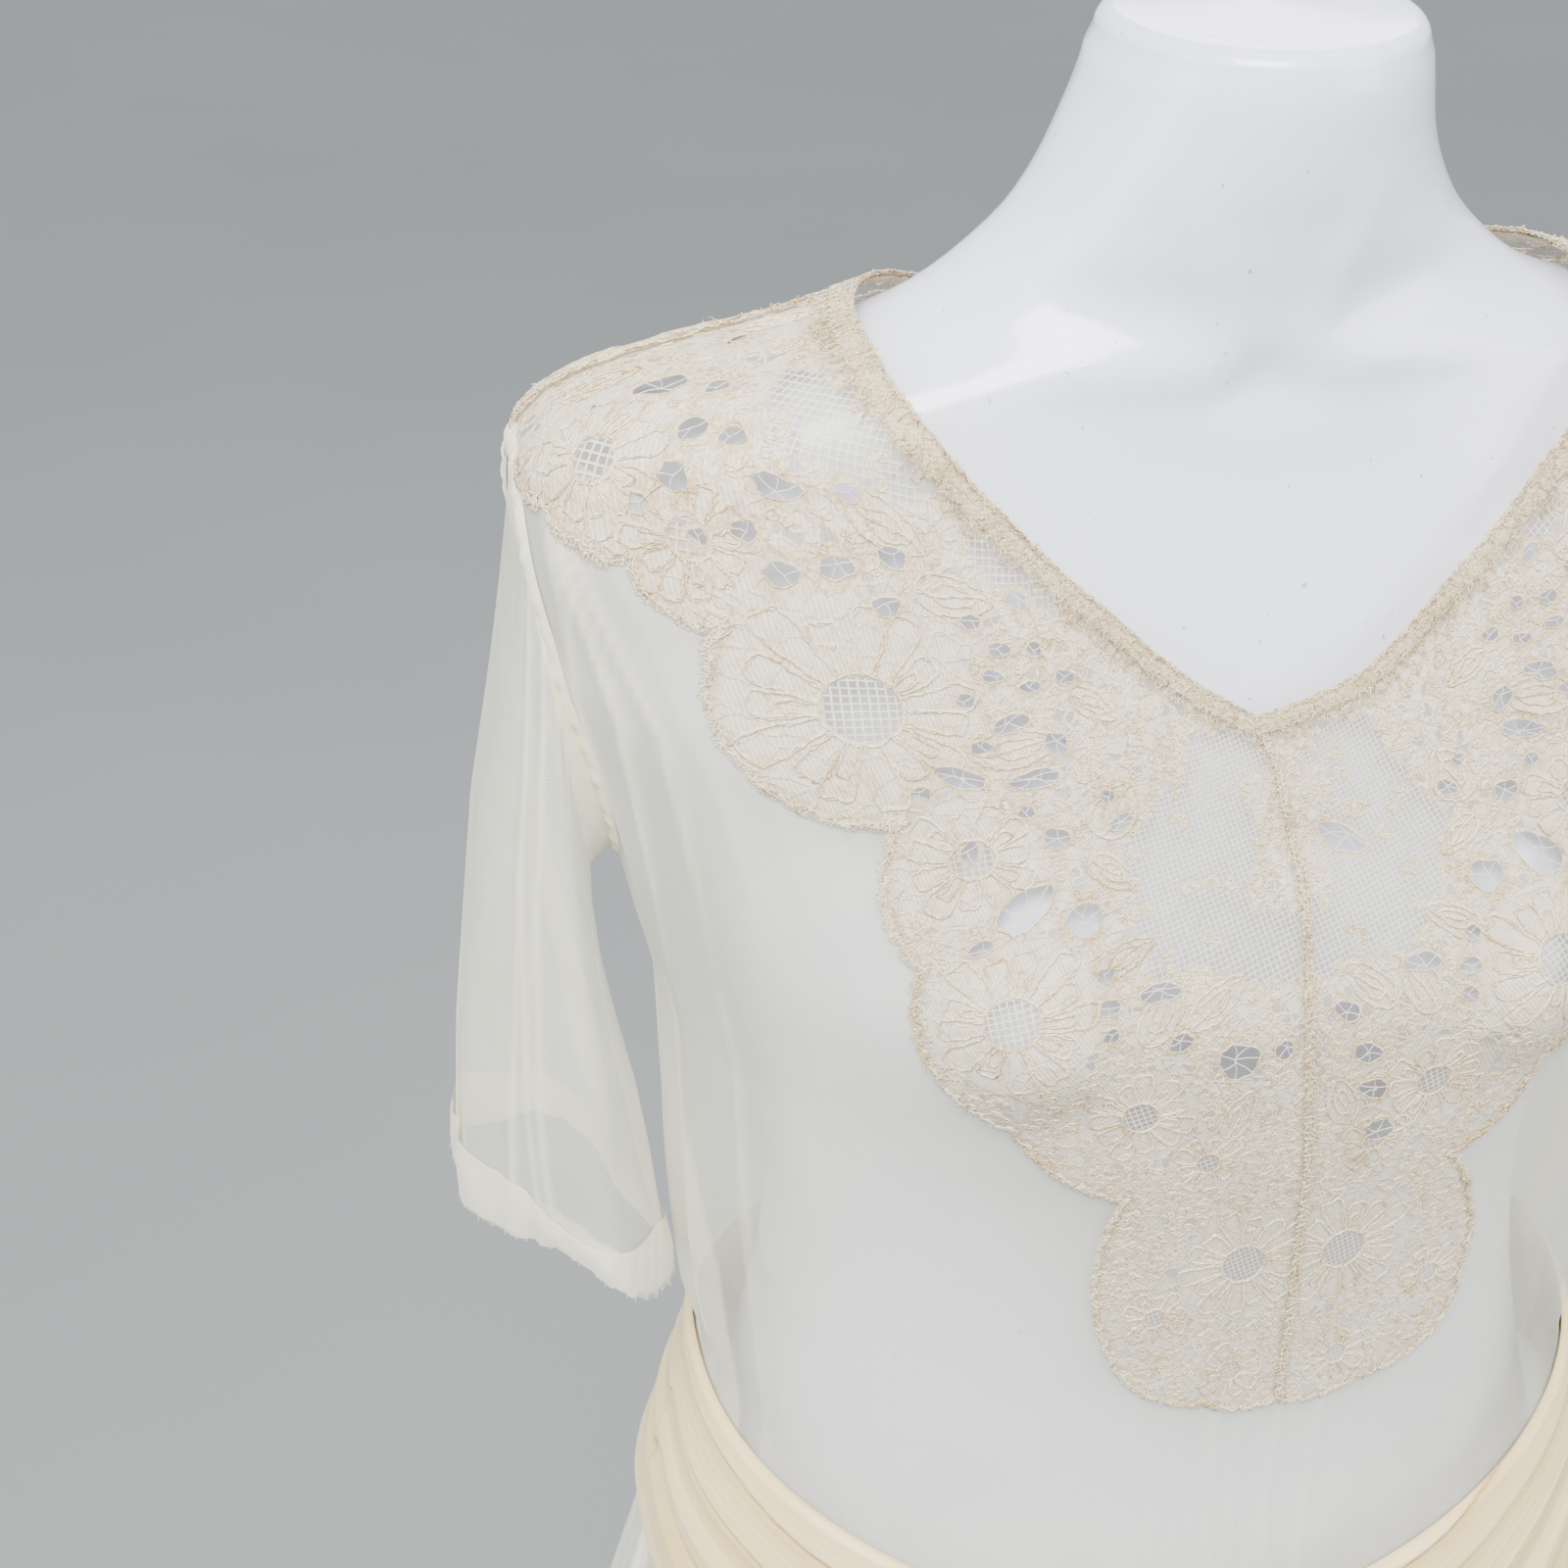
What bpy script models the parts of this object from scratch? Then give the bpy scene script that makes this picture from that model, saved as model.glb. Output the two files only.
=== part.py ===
"""Sheer chiffon dress with a lace yoke and a tied satin sash, worn by a smooth dress form.

Sizes are in millimetres, +Z is up, +X is to the viewer's right and the front of the dress faces -Y.
The origin is on the floor, under the middle of the round base.
The cloth is laid out on a flat pattern: "around" runs round the body in millimetres from the centre
front, and "rise" is the height, which bends inward over the shoulders above the PIVOT height.
"""

import math

import bmesh
import bpy
import numpy as np
from mathutils import Vector
from mathutils.geometry import delaunay_2d_cdt

MILLIMETRE = 0.001

# Base, pole and form
BASE_RADIUS = 150.0
BASE_THICK = 10.0
BASE_EDGE = 2.0
COLLAR_RADIUS = 24.0
COLLAR_TALL = 22.0
POLE_RADIUS = 12.5
SEAM_GAP = 0.3
FORM_FOOT = 775.0
NECK_TOP = 1494.0
NECK_ROUND = 6.0
FORM_SIDES = 26

# The pattern
MID_Y = 5.0
PIVOT = 1262.0
TILT_REACH = 135.0
PER_DEGREE = 2.3
SIDE = 90 * PER_DEGREE
BACK = 180 * PER_DEGREE

# Cloth
CHIFFON = 1.0
LACE = 1.0
BAND = 1.2
BAND_WIDE = 8.0
SATIN = 1.6
CLEAR_OF_BODY = 1.4
CLEAR_AT_SHOULDER = -0.4
SHOULDER_FROM = 1338.0
SHOULDER_TO = 1356.0
EASE = 2.5
MESH_STEP = 21.0

# Armhole and sleeve
ARMHOLE_RISE = 1292.0
ARMHOLE_HALF_TALL = 43.0
ARMHOLE_HALF_DEEP = 25.0
UNDERARM = ARMHOLE_RISE - ARMHOLE_HALF_TALL
SLEEVE_INSIDE_HOLE = 1.0
SLEEVE_SIDES = 20
SLEEVE_WAVES = 5
SLEEVE_WAVE = 2.6
SLEEVE_SLANT = 14.0
HEM_WAVE = 5.0
CUFF_TALL = 22.0
CUFF_WAVE = 3.0

# Sash and skirt
SASH_TOP = 1043.0
SASH_FRONT_DIP = 50.0
SASH_WIDE = 82.0
SASH_FOLDS = 3.4
SASH_FOLD = 4.4
SASH_STANDS_OFF = 2.2
SASH_OVER_GATHERS = 2.0
SASH_COLUMNS = 24
SASH_ROWS = 8
HEM = 330.0
SKIRT_FOLDS = 15
SKIRT_FOLD = 26.0
SKIRT_COLUMNS = 40
SKIRT_ROWS = 7
TAIL_LONG = 390.0
TAIL_TOP_HALF = 9.0
TAIL_END_HALF = 42.0
TAIL_BELOW_KNOT = 4.7
TAIL_BESIDE_MIDDLE = 1.5
TAIL_SPREAD = 52.0
TAIL_RIPPLE = 3.0
TAIL_OFF_SASH = 11.5
TAIL_OFF_SKIRT = 2.2
RIGHT_TAIL_SHARE = 0.86
TAIL_ROWS = 9
TAIL_COLUMNS = 8
KNOT_HALF = (21.0, 15.0, 25.0)
KNOT_PINCH = 0.07
KNOT_SUNK = 0.4
SASH_ENDS_APART = 8.0

BUST = {"across": 76.0, "height": 1230.0, "out": 30.0, "wide": 40.0, "tall": 42.0}
FORM_IN_CLOTH = 0.94

# height, half width, front, back, squareness, centre x, centre y
FIGURE_RINGS = (
    (775, 146, 84, 92, 2.3, 0, 6),
    (800, 160, 94, 104, 2.3, 0, 6),
    (860, 171, 101, 112, 2.3, 0, 5),
    (920, 167, 99, 108, 2.3, 0, 4),
    (980, 153, 95, 94, 2.3, 0, 3),
    (1030, 140, 91, 82, 2.3, 0, 2),
    (1080, 131, 86, 75, 2.3, 0, 0),
    (1110, 129, 85, 74, 2.3, 0, 0),
    (1150, 132, 87, 78, 2.3, 0, 0),
    (1192, 140, 92, 86, 2.3, 0, 0),
    (1240, 149, 97, 92, 2.3, 0, 0),
    (1290, 163, 92, 97, 2.4, 0, 0),
    (1330, 178, 82, 90, 2.5, 0, 2),
    (1358, 184, 72, 80, 2.5, 0, 2),
    (1380, 181, 63, 66, 2.4, 0, 0),
    (1393, 167, 57, 55, 2.2, 0, -4),
    (1402, 142, 52, 47, 2.1, 0, -7),
    (1409, 116, 49, 43, 2.0, 0, -9),
    (1416, 95, 48, 42, 2.0, 0, -10),
    (1427, 78, 47, 42, 2.0, 1, -11),
    (1443, 62, 47, 43, 2.0, 2, -13),
    (1462, 52, 49, 44, 2.0, 3, -14),
    (1479, 47, 50, 44, 2.0, 5, -14),
    (1494, 44, 50, 44, 2.0, 6, -13),
)

# height, half width, front, back, squareness, centre x, centre y
DRESS_RINGS = (
    (330, 292, 256, 250, 2.1, 0, 3),
    (600, 246, 206, 200, 2.1, 0, 3),
    (780, 212, 166, 160, 2.2, 0, 3),
    (880, 191, 139, 133, 2.3, 0, 3),
    (940, 176, 122, 116, 2.3, 0, 3),
    (970, 170, 116, 109, 2.3, 0, 3),
    (1000, 162, 110, 101, 2.3, 0, 2),
    (1046, 153, 104, 94, 2.3, 0, 2),
    (1091, 158, 105, 95, 2.3, 0, 2),
    (1148, 162, 110, 97, 2.3, 0, 2),
    (1193, 163, 117, 100, 2.3, 0, 2),
    (1233, 171, 120, 103, 2.35, 0, 2),
    (1262, 177, 114, 104, 2.5, 0, 3),
    (1291, 185, 103, 103, 2.7, 0, 4),
    (1327, 195, 90, 96, 3.0, 0, 4),
    (1357, 199, 78, 84, 3.0, 0, 2),
    (1380, 197, 68, 70, 2.8, 0, 0),
    (1392, 188, 62, 58, 2.6, 0, -4),
    (1399.5, 172, 57, 50, 2.4, 0, -7),
    (1405.5, 148, 53, 44, 2.2, 0, -9),
    (1411, 122, 51, 42, 2.1, 0, -10),
    (1416, 104, 50, 42, 2.0, 0, -10),
    (1428, 82, 49, 43, 2.0, 0, -11),
    (1444, 66, 49, 44, 2.0, 1, -12),
)

# Heights of the rings that the form's mesh is made through
FORM_LEVELS = (
    775, 800, 835, 870, 910, 950, 990, 1030, 1070, 1110, 1145, 1172, 1193, 1212, 1230, 1248,
    1270, 1297, 1325, 1347, 1364, 1377, 1387, 1395, 1401, 1406, 1411, 1417, 1426, 1438, 1453,
    1470, 1488,
)

# Soft upright folds of the bodice: around, lowest, highest, half width, depth
BODICE_FOLDS = (
    (-196, 985, 1240, 6, 3.8),
    (-178, 985, 1190, 6, 3.0),
    (-150, 985, 1120, 8, 2.6),
    (-112, 985, 1090, 9, 2.2),
    (-60, 985, 1070, 9, 1.8),
    (48, 985, 1075, 9, 2.0),
    (104, 985, 1110, 9, 2.4),
    (152, 985, 1130, 8, 2.8),
    (180, 985, 1200, 6, 3.2),
    (197, 985, 1235, 6, 3.6),
    (240, 985, 1190, 9, 3.4),
    (290, 985, 1150, 10, 3.0),
    (345, 985, 1130, 10, 2.6),
    (414, 985, 1120, 11, 2.2),
    (480, 985, 1140, 10, 2.8),
    (538, 985, 1160, 10, 3.2),
    (592, 985, 1190, 9, 3.4),
)

# Neckline of the front, from the shoulder seam to the point of the V: around, rise
NECKLINE_FRONT = ((-207, 1399), (-186, 1394), (-160, 1389), (-132, 1382), (-105, 1375),
                  (-69, 1364), (-32, 1347), (-11, 1338))

# Neckline of the back, from the shoulder seam to the centre back: around, rise
NECKLINE_BACK = ((207, 1399), (250, 1408), (300, 1417), (357, 1423), (414, 1425))

# Shoulder seam: rise at the neck and at the sleeve
SHOULDER_SEAM = (1399, 1338)

# Centre front seam of the lace, from the V down: around, rise
FRONT_SEAM = ((-11, 1338), (-3, 1319), (4, 1280), (5, 1234), (13, 1175), (17, 1126), (18, 1082))

# Lower edge of the front lace, scallop by scallop: around, rise, how far the scallop before it swells
SCALLOPS_FRONT = (
    (-197, 1336, 0),
    (-184, 1334, 2),
    (-166, 1334, 3),
    (-149, 1330, 4),
    (-142, 1303, 4),
    (-111, 1298, 5),
    (-101, 1258, 6),
    (-78, 1207, 9),
    (-45, 1177, 6),
    (-43, 1099, 10),
    (-12, 1085, 4),
    (18, 1082, 3),
)

# Lower edge of the back lace, from the armhole to the centre back: around, rise, swell
SCALLOPS_BACK = (
    (215, 1334, 0),
    (240, 1328, 4),
    (268, 1316, 5),
    (300, 1300, 6),
    (334, 1281, 6),
    (370, 1262, 6),
    (414, 1250, 7),
)

# Upper edge of the chiffon, which runs under the lace: around, rise
CHIFFON_TOP_FRONT = ((-190, 1341), (-168, 1343), (-150, 1340), (-138, 1326), (-131, 1307), (-107, 1304),
                     (-100, 1290), (-95, 1262), (-86, 1234), (-70, 1215), (-36, 1186), (-35, 1106))
CHIFFON_TOP_MIDDLE = (18, 1093)
CHIFFON_TOP_BACK = ((222, 1341), (250, 1334), (282, 1320), (318, 1300), (360, 1278), (414, 1262))

# Open gaps in the lace: around, rise, length, width, turn
GAPS_LEFT = (
    (-184, 1359, 9.0, 6.0, 50),
    (-175, 1365, 4.4, 4.0, 30),
    (-193, 1373, 3.6, 4.6, 60),
    (-168, 1357, 5.2, 5.0, 37),
    (-161, 1360, 5.0, 3.4, 26),
    (-165, 1349, 5.0, 5.0, 36),
    (-168, 1342, 3.6, 3.6, 34),
    (-158, 1342, 3.4, 3.2, 33),
    (-150, 1357, 8.6, 4.4, 18),
    (-139, 1363, 5.2, 3.6, 22),
    (-152, 1347, 4.4, 4.0, 32),
    (-144, 1343, 6.4, 4.8, 30),
    (-136, 1349, 7.0, 4.6, 35),
    (-127, 1356, 6.0, 4.4, 7),
    (-125, 1346, 6.0, 4.2, 35),
    (-97, 1359, 6.0, 4.4, -13),
    (-107, 1350, 5.0, 3.8, 20),
    (-99, 1346, 6.0, 3.6, 18),
    (-90, 1349, 4.4, 4.0, 16),
    (-99, 1339, 6.0, 3.4, 16),
    (-89, 1339, 6.2, 3.4, 24),
    (-80, 1344, 6.0, 4.0, 13),
    (-104, 1331, 4.6, 3.8, 16),
    (-92, 1328, 10.5, 4.8, 34),
    (-98, 1320, 6.0, 3.6, 24),
    (-79, 1325, 8.0, 6.0, -41),
    (-101, 1311, 12.0, 5.2, -6),
    (-83, 1314, 14.0, 5.6, 22),
    (-109, 1305, 4.4, 4.0, 11),
    (-84, 1304, 4.4, 4.2, 7),
    (-75, 1297, 7.6, 6.4, 4),
    (-62, 1311, 4.4, 4.2, 4),
    (-57, 1303, 7.6, 4.8, 34),
    (-96, 1291, 4.2, 6.8, 7),
    (-80, 1276, 17.0, 10.0, 50),
    (-64, 1273, 10.0, 10.0, -2),
    (-89, 1265, 6.4, 4.2, 38),
    (-55, 1248, 6.0, 4.8, -9),
    (-41, 1251, 12.0, 5.6, 5),
    (-57, 1257, 4.8, 4.4, -7),
    (-54, 1240, 4.4, 4.8, -13),
    (-16, 1228, 12.0, 13.0, 43),
    (-2, 1230, 6.0, 7.0, -8),
    (-34, 1236, 7.0, 6.0, 30),
)
GAPS_RIGHT_OF_SEAM = (
    (19, 1293, 19.0, 8.6, -32),
    (17, 1240, 8.6, 6.0, -35),
    (25, 1225, 10.4, 6.6, -29),
    (29, 1211, 10.4, 7.0, -30),
    (34, 1194, 10.0, 8.0, -12),
)
MIRRORED_BEYOND = 40.0
GAP_BACK_ROWS = (
    # rise at the armhole end, rise at the centre back, how many to a side, length, width
    (1352, 1290, 5, 8.0, 5.0),
    (1378, 1322, 6, 6.0, 5.0),
)

# Sleeve, ring by ring: outer x, outer height, inner x, inner height, half depth
SLEEVE_RINGS = (
    (199.5, 1362, 183, 1243, 39),
    (203.0, 1336, 184, 1231, 42),
    (208.5, 1300, 183, 1213, 45),
    (215.5, 1262, 180, 1192, 47),
    (220.5, 1220, 176, 1168, 48),
    (225.5, 1178, 174, 1145, 48),
    (227.5, 1146, 173, 1124, 48),
    (228.5, 1119, 172, 1103, 48),
)

# Colour, roughness and metallic value of each material
MATERIALS = {
    "gloss_shell": ((0.78, 0.80, 0.86, 1.0), 0.22, 0.0),
    "polished_metal": ((0.62, 0.62, 0.64, 1.0), 0.25, 1.0),
    "painted_base": ((0.80, 0.80, 0.80, 1.0), 0.35, 0.0),
    "chiffon": ((0.86, 0.86, 0.80, 1.0), 0.65, 0.0),
    "lace_thread": ((0.84, 0.78, 0.64, 1.0), 0.60, 0.0),
    "lace_band": ((0.78, 0.68, 0.50, 1.0), 0.60, 0.0),
    "satin": ((0.88, 0.78, 0.58, 1.0), 0.32, 0.0),
}


class Rings:
    """A body given by rings at rising heights, read smoothly between them."""

    def __init__(self, rows):
        table = np.array(rows, float)
        self.heights = table[:, 0]
        self.sizes = table[:, 1:]
        steps = np.diff(self.sizes, axis=0) / np.diff(self.heights)[:, None]
        before, after = steps[:-1], steps[1:]
        both = np.where(before + after == 0, 1.0, before + after)
        self.slopes = np.zeros_like(self.sizes)
        self.slopes[1:-1] = np.where(before * after > 0, 2 * before * after / both, 0.0)
        self.slopes[0] = steps[0]
        self.slopes[-1] = steps[-1]

    def at(self, height):
        height = np.clip(height, self.heights[0], self.heights[-1])
        low = np.clip(np.searchsorted(self.heights, height) - 1, 0, len(self.heights) - 2)
        span = (self.heights[low + 1] - self.heights[low])[..., None]
        part = (height - self.heights[low])[..., None] / span
        start = (2 * part**3 - 3 * part**2 + 1) * self.sizes[low]
        end = (3 * part**2 - 2 * part**3) * self.sizes[low + 1]
        bend_in = (part**3 - 2 * part**2 + part) * span * self.slopes[low]
        bend_out = (part**3 - part**2) * span * self.slopes[low + 1]
        return start + end + bend_in + bend_out

    def measure(self, points, bust):
        """Below 1 inside the body, 1 on its surface and more outside."""
        half_width, front, back, square, centre_x, centre_y = np.moveaxis(self.at(points[..., 2]), -1, 0)
        across = np.abs(points[..., 0] - centre_x) / half_width
        deep = points[..., 1] - centre_y
        ahead = np.maximum(-deep - bust * swell(points[..., 0], points[..., 2]), 0) / front
        deep = np.where(deep < 0, ahead, deep / back)
        return (across**square + deep**square) ** (1 / square)

    def reach(self, start, way, bust):
        """How far along each line the surface is."""
        near = np.ones(start.shape[:-1])
        far = np.full(start.shape[:-1], 420.0)
        for _ in range(34):
            middle = (near + far) / 2
            outside = self.measure(start + way * middle[..., None], bust) > 1
            far = np.where(outside, middle, far)
            near = np.where(outside, near, middle)
        return (near + far) / 2


def swell(across, height):
    """How far the bust stands forward."""
    tall = ((height - BUST["height"]) / BUST["tall"]) ** 2
    sides = [np.exp(-(((across - side * BUST["across"]) / BUST["wide"]) ** 2) - tall) for side in (-1, 1)]
    return BUST["out"] * (sides[0] + sides[1])


def step_between(value, low, high):
    part = np.clip((value - low) / (high - low), 0, 1)
    return part * part * (3 - 2 * part)


FIGURE = Rings(FIGURE_RINGS)
DRESS = Rings(DRESS_RINGS)


def lines_out(around, rise):
    """Start and direction of the line that meets the cloth at each place of the pattern."""
    turn = np.radians(around / PER_DEGREE)
    tilt = np.maximum(rise - PIVOT, 0) / TILT_REACH
    start = np.stack([0 * turn, 0 * turn + MID_Y, np.minimum(rise, PIVOT)], -1)
    way = np.stack([np.sin(turn) * np.cos(tilt), -np.cos(turn) * np.cos(tilt), np.sin(tilt)], -1)
    return start, way


def sash_top(around):
    """Height of the sash's upper edge, which dips at the front."""
    ahead = np.maximum(np.cos(np.radians(around / PER_DEGREE)), 0)
    return SASH_TOP - SASH_FRONT_DIP * ahead**1.5


def waist_seam(around):
    return sash_top(around) - SASH_WIDE / 2


def folds_of_bodice(around, rise):
    around = (around + SIDE) % (2 * BACK) - SIDE
    out = 0 * rise
    for place, low, high, half_wide, depth in BODICE_FOLDS:
        ridge = np.exp(-(((around - place) / half_wide) ** 2))
        fade = 1 - step_between(rise, low + 0.35 * (high - low), high)
        out = out + depth * ridge * fade * step_between(rise, sash_top(around) + 1, sash_top(around) + 40)
    return out


def fold_depth_of_skirt(height):
    below = np.maximum(SASH_TOP - 45 - height, 0) / (SASH_TOP - 45 - HEM)
    return SKIRT_FOLD * below**1.25


def folds_of_skirt(around, rise):
    turn = np.radians(around / PER_DEGREE)
    uneven = turn + 0.09 * np.sin(3 * turn + 1.0) + 0.05 * np.sin(5 * turn)
    return fold_depth_of_skirt(rise) * np.cos(SKIRT_FOLDS * uneven)


def cloth(around, rise, out, folds=folds_of_bodice):
    """A point of the dress at a place of the pattern, moved outward by a distance."""
    around = np.asarray(around, float)
    rise = np.asarray(rise, float)
    start, way = lines_out(around, rise)
    loose = DRESS.reach(start, way, 0.0)
    shoulder = step_between(rise, SHOULDER_FROM, SHOULDER_TO)
    gap = CLEAR_OF_BODY + (CLEAR_AT_SHOULDER - CLEAR_OF_BODY) * shoulder
    close = FIGURE.reach(start, way, 1.0) + gap
    far = close + EASE * np.logaddexp(0, (loose - close) / EASE) + folds(around, rise)
    point = start + way * far[..., None]
    if np.all(np.asarray(out) == 0):
        return point
    step = 1.0
    right = cloth(around + step, rise, 0, folds) - cloth(around - step, rise, 0, folds)
    up = cloth(around, rise + step, 0, folds) - cloth(around, rise - step, 0, folds)
    normal = np.cross(right, up)
    normal /= np.linalg.norm(normal, axis=-1, keepdims=True)
    return point + normal * np.asarray(out, float)[..., None]


def scallops(rows, side=1, steps=3):
    """Points along a scalloped edge, each scallop an arc that swells to the right of its chord."""
    line = []
    for (x0, y0, _), (x1, y1, swelling) in zip(rows, rows[1:]):
        long = math.hypot(x1 - x0, y1 - y0)
        for step in range(steps):
            part = step / steps
            out = swelling * math.sin(math.pi * part) ** 0.8
            line.append((x0 + (x1 - x0) * part + out * (y1 - y0) / long * side,
                         y0 + (y1 - y0) * part - out * (x1 - x0) / long * side))
    line.append(rows[-1][:2])
    return line


def along(points, spacing):
    """The same line with a point at least every few millimetres."""
    line = []
    for start, end in zip(points, points[1:]):
        count = max(1, round(math.dist(start, end) / spacing))
        line += [tuple(s + (e - s) * i / count for s, e in zip(start, end)) for i in range(count)]
    return line + [tuple(points[-1])]


def shifted(points, across):
    return [(x + across, y) for x, y in points]


def other_half(points):
    """The points' places on the other half of the front, whose lower middle hangs round the seam."""
    rises = [rise for _, rise in reversed(FRONT_SEAM)]
    places = [around for around, _ in reversed(FRONT_SEAM)]
    moved = []
    for x, y in points:
        share = step_between(-y, -1260, -1120) * (1 - step_between(abs(x), 100, 190))
        moved.append((-x + 2 * float(share * np.interp(y, rises, places)), y))
    return moved


def mirrored(points, about=0.0):
    return [(2 * about - x, y) for x, y in reversed(points)]


def armhole(centre, start, end, steps=7):
    """The armhole's edge between two angles, measured up from the underarm on its front side."""
    line = []
    for step in range(steps + 1):
        angle = math.radians(start + (end - start) * step / steps)
        line.append((centre + ARMHOLE_HALF_DEEP * math.sin(angle),
                     ARMHOLE_RISE - ARMHOLE_HALF_TALL * math.cos(angle)))
    return line


def oval(around, rise, long, wide, turn):
    """A gap in the lace, with more sides when it is large."""
    sides = 8 if long * wide > 50 else 6
    turn = math.radians(turn)
    points = []
    for side in range(sides):
        angle = 2 * math.pi * (side + 0.5) / sides
        x, y = long / 2 * math.cos(angle), wide / 2 * math.sin(angle)
        points.append((around + x * math.cos(turn) - y * math.sin(turn),
                       rise + x * math.sin(turn) + y * math.cos(turn)))
    return points


def inner_points(corners, edges, step):
    """A staggered grid of points that keeps its distance from every edge."""
    low, high = np.min(corners, axis=0), np.max(corners, axis=0)
    points = []
    row_step = step * math.sqrt(3) / 2
    rows = int((high[1] - low[1]) / row_step) + 1
    columns = int((high[0] - low[0]) / step) + 2
    for row in range(rows):
        for column in range(columns):
            place = np.array([low[0] + (column + 0.5 * (row % 2)) * step, low[1] + (row + 0.5) * row_step])
            if edge_distance(place, edges) > step * 0.45:
                points.append(tuple(place))
    return points


def edge_distance(place, edges):
    starts, ends = edges
    run = ends - starts
    part = np.clip(((place - starts) * run).sum(axis=1) / (run * run).sum(axis=1), 0, 1)
    return float(np.linalg.norm(starts + run * part[:, None] - place, axis=1).min())


def within(loop, places):
    """Which places lie inside a closed loop, by counting the sides that a line to the right crosses."""
    inside = np.zeros(len(places), bool)
    for (x0, y0), (x1, y1) in zip(loop, loop[1:] + loop[:1]):
        crossing = (y0 > places[:, 1]) != (y1 > places[:, 1])
        if crossing.any():
            inside ^= crossing & (places[:, 0] < x0 + (places[:, 1] - y0) * (x1 - x0) / (y1 - y0))
    return inside


def cut_pattern(loops, step):
    """Points and triangles that keep to every loop of the pattern, and which triangles each loop holds."""
    points = [p for loop in loops for p in loop]
    edges = []
    for loop in loops:
        first = len(edges)
        edges += [(first + i, first + (i + 1) % len(loop)) for i in range(len(loop))]
    ends = np.array(points)[np.array(edges)]
    points += inner_points(points, (ends[:, 0], ends[:, 1]), step)
    flat, _, triangles, _, _, _ = delaunay_2d_cdt([Vector(p) for p in points], edges, [], 0, 1e-4)
    flat = np.array([tuple(p) for p in flat])
    middles = flat[np.array(triangles)].mean(axis=1)
    return flat, triangles, [within(loop, middles) for loop in loops]


def chosen(triangles, keep):
    return [triangle for triangle, wanted in zip(triangles, keep) if wanted]


def new_object(name, mesh_points, faces, material):
    """An object from points in millimetres, with its faces pointing out."""
    mesh = bpy.data.meshes.new(name)
    mesh.from_pydata([tuple(p) for p in np.asarray(mesh_points) * MILLIMETRE], [], faces)
    return place_mesh(name, mesh, material)


def place_mesh(name, mesh, material):
    built = bmesh.new()
    built.from_mesh(mesh)
    bmesh.ops.recalc_face_normals(built, faces=built.faces)
    built.to_mesh(mesh)
    built.free()
    mesh.shade_smooth()
    mesh.set_sharp_from_angle(angle=math.radians(45))
    mesh.materials.append(bpy.data.materials[material])
    placed = bpy.data.objects.new(name, mesh)
    bpy.context.scene.collection.objects.link(placed)
    return placed


def cloth_wall(name, flat, triangles, inner, thick, material):
    """A panel of the pattern as a wall: the same triangles inside and outside, joined at each edge."""
    used = sorted({corner for triangle in triangles for corner in triangle})
    number = {corner: i for i, corner in enumerate(used)}
    around, rise = flat[used, 0], flat[used, 1]
    inside = cloth(around, rise, np.full(len(used), inner))
    outside = cloth(around, rise, np.full(len(used), inner + thick))
    count = len(used)
    faces = []
    sides = {}
    for triangle in triangles:
        a, b, c = (number[corner] for corner in triangle)
        faces.append((a + count, b + count, c + count))
        faces.append((c, b, a))
        for edge in ((a, b), (b, c), (c, a)):
            sides[edge] = True
    faces += [(a, b, b + count, a + count) for a, b in sides if (b, a) not in sides]
    return new_object(name, np.concatenate([inside, outside]), faces, material)


def tube_wall(name, inside, outside, material, closed=True):
    """A wall between two grids of points, rows by columns, whose columns may close on themselves.

    Each small square is halved along the same line inside and outside, so the wall keeps its thickness.
    """
    rows, columns = inside.shape[:2]
    count = rows * columns
    spans = columns if closed else columns - 1
    points = np.concatenate([inside.reshape(-1, 3), outside.reshape(-1, 3)])
    faces = []
    for row in range(rows - 1):
        for column in range(spans):
            a, b = row * columns + column, row * columns + (column + 1) % columns
            c, d = b + columns, a + columns
            if math.dist(points[a], points[c]) < math.dist(points[b], points[d]):
                halves = ((a, b, c), (a, c, d))
            else:
                halves = ((a, b, d), (b, c, d))
            faces += halves
            faces += [tuple(corner + count for corner in reversed(half)) for half in halves]
    for column in range(spans):
        after = (column + 1) % columns
        top = (rows - 1) * columns
        faces.append((column, column + count, after + count, after))
        faces.append((top + column, top + after, top + after + count, top + column + count))
    if not closed:
        for row in range(rows - 1):
            for column in (0, columns - 1):
                a, b = row * columns + column, (row + 1) * columns + column
                faces.append((a, b, b + count, a + count))
    return new_object(name, points, faces, material)


def form_ring(height, shrink=0.0):
    """A ring of the form at a height, with the bust a little smaller than the cloth over it."""
    half_width, front, back, square, centre_x, centre_y = FIGURE.at(np.array(height, float))
    ring = []
    for side in range(FORM_SIDES):
        angle = 2 * math.pi * (side + 0.5) / FORM_SIDES
        across = math.copysign(abs(math.cos(angle)) ** (2 / square), math.cos(angle))
        deep = math.copysign(abs(math.sin(angle)) ** (2 / square), math.sin(angle))
        x = centre_x + (half_width - shrink) * across
        y = centre_y + ((back if deep > 0 else front) - shrink) * deep
        if deep < 0:
            y -= FORM_IN_CLOTH * float(swell(x, height)) * min(1.0, -2.5 * deep)
        ring.append((x, y, height))
    return ring


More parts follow.
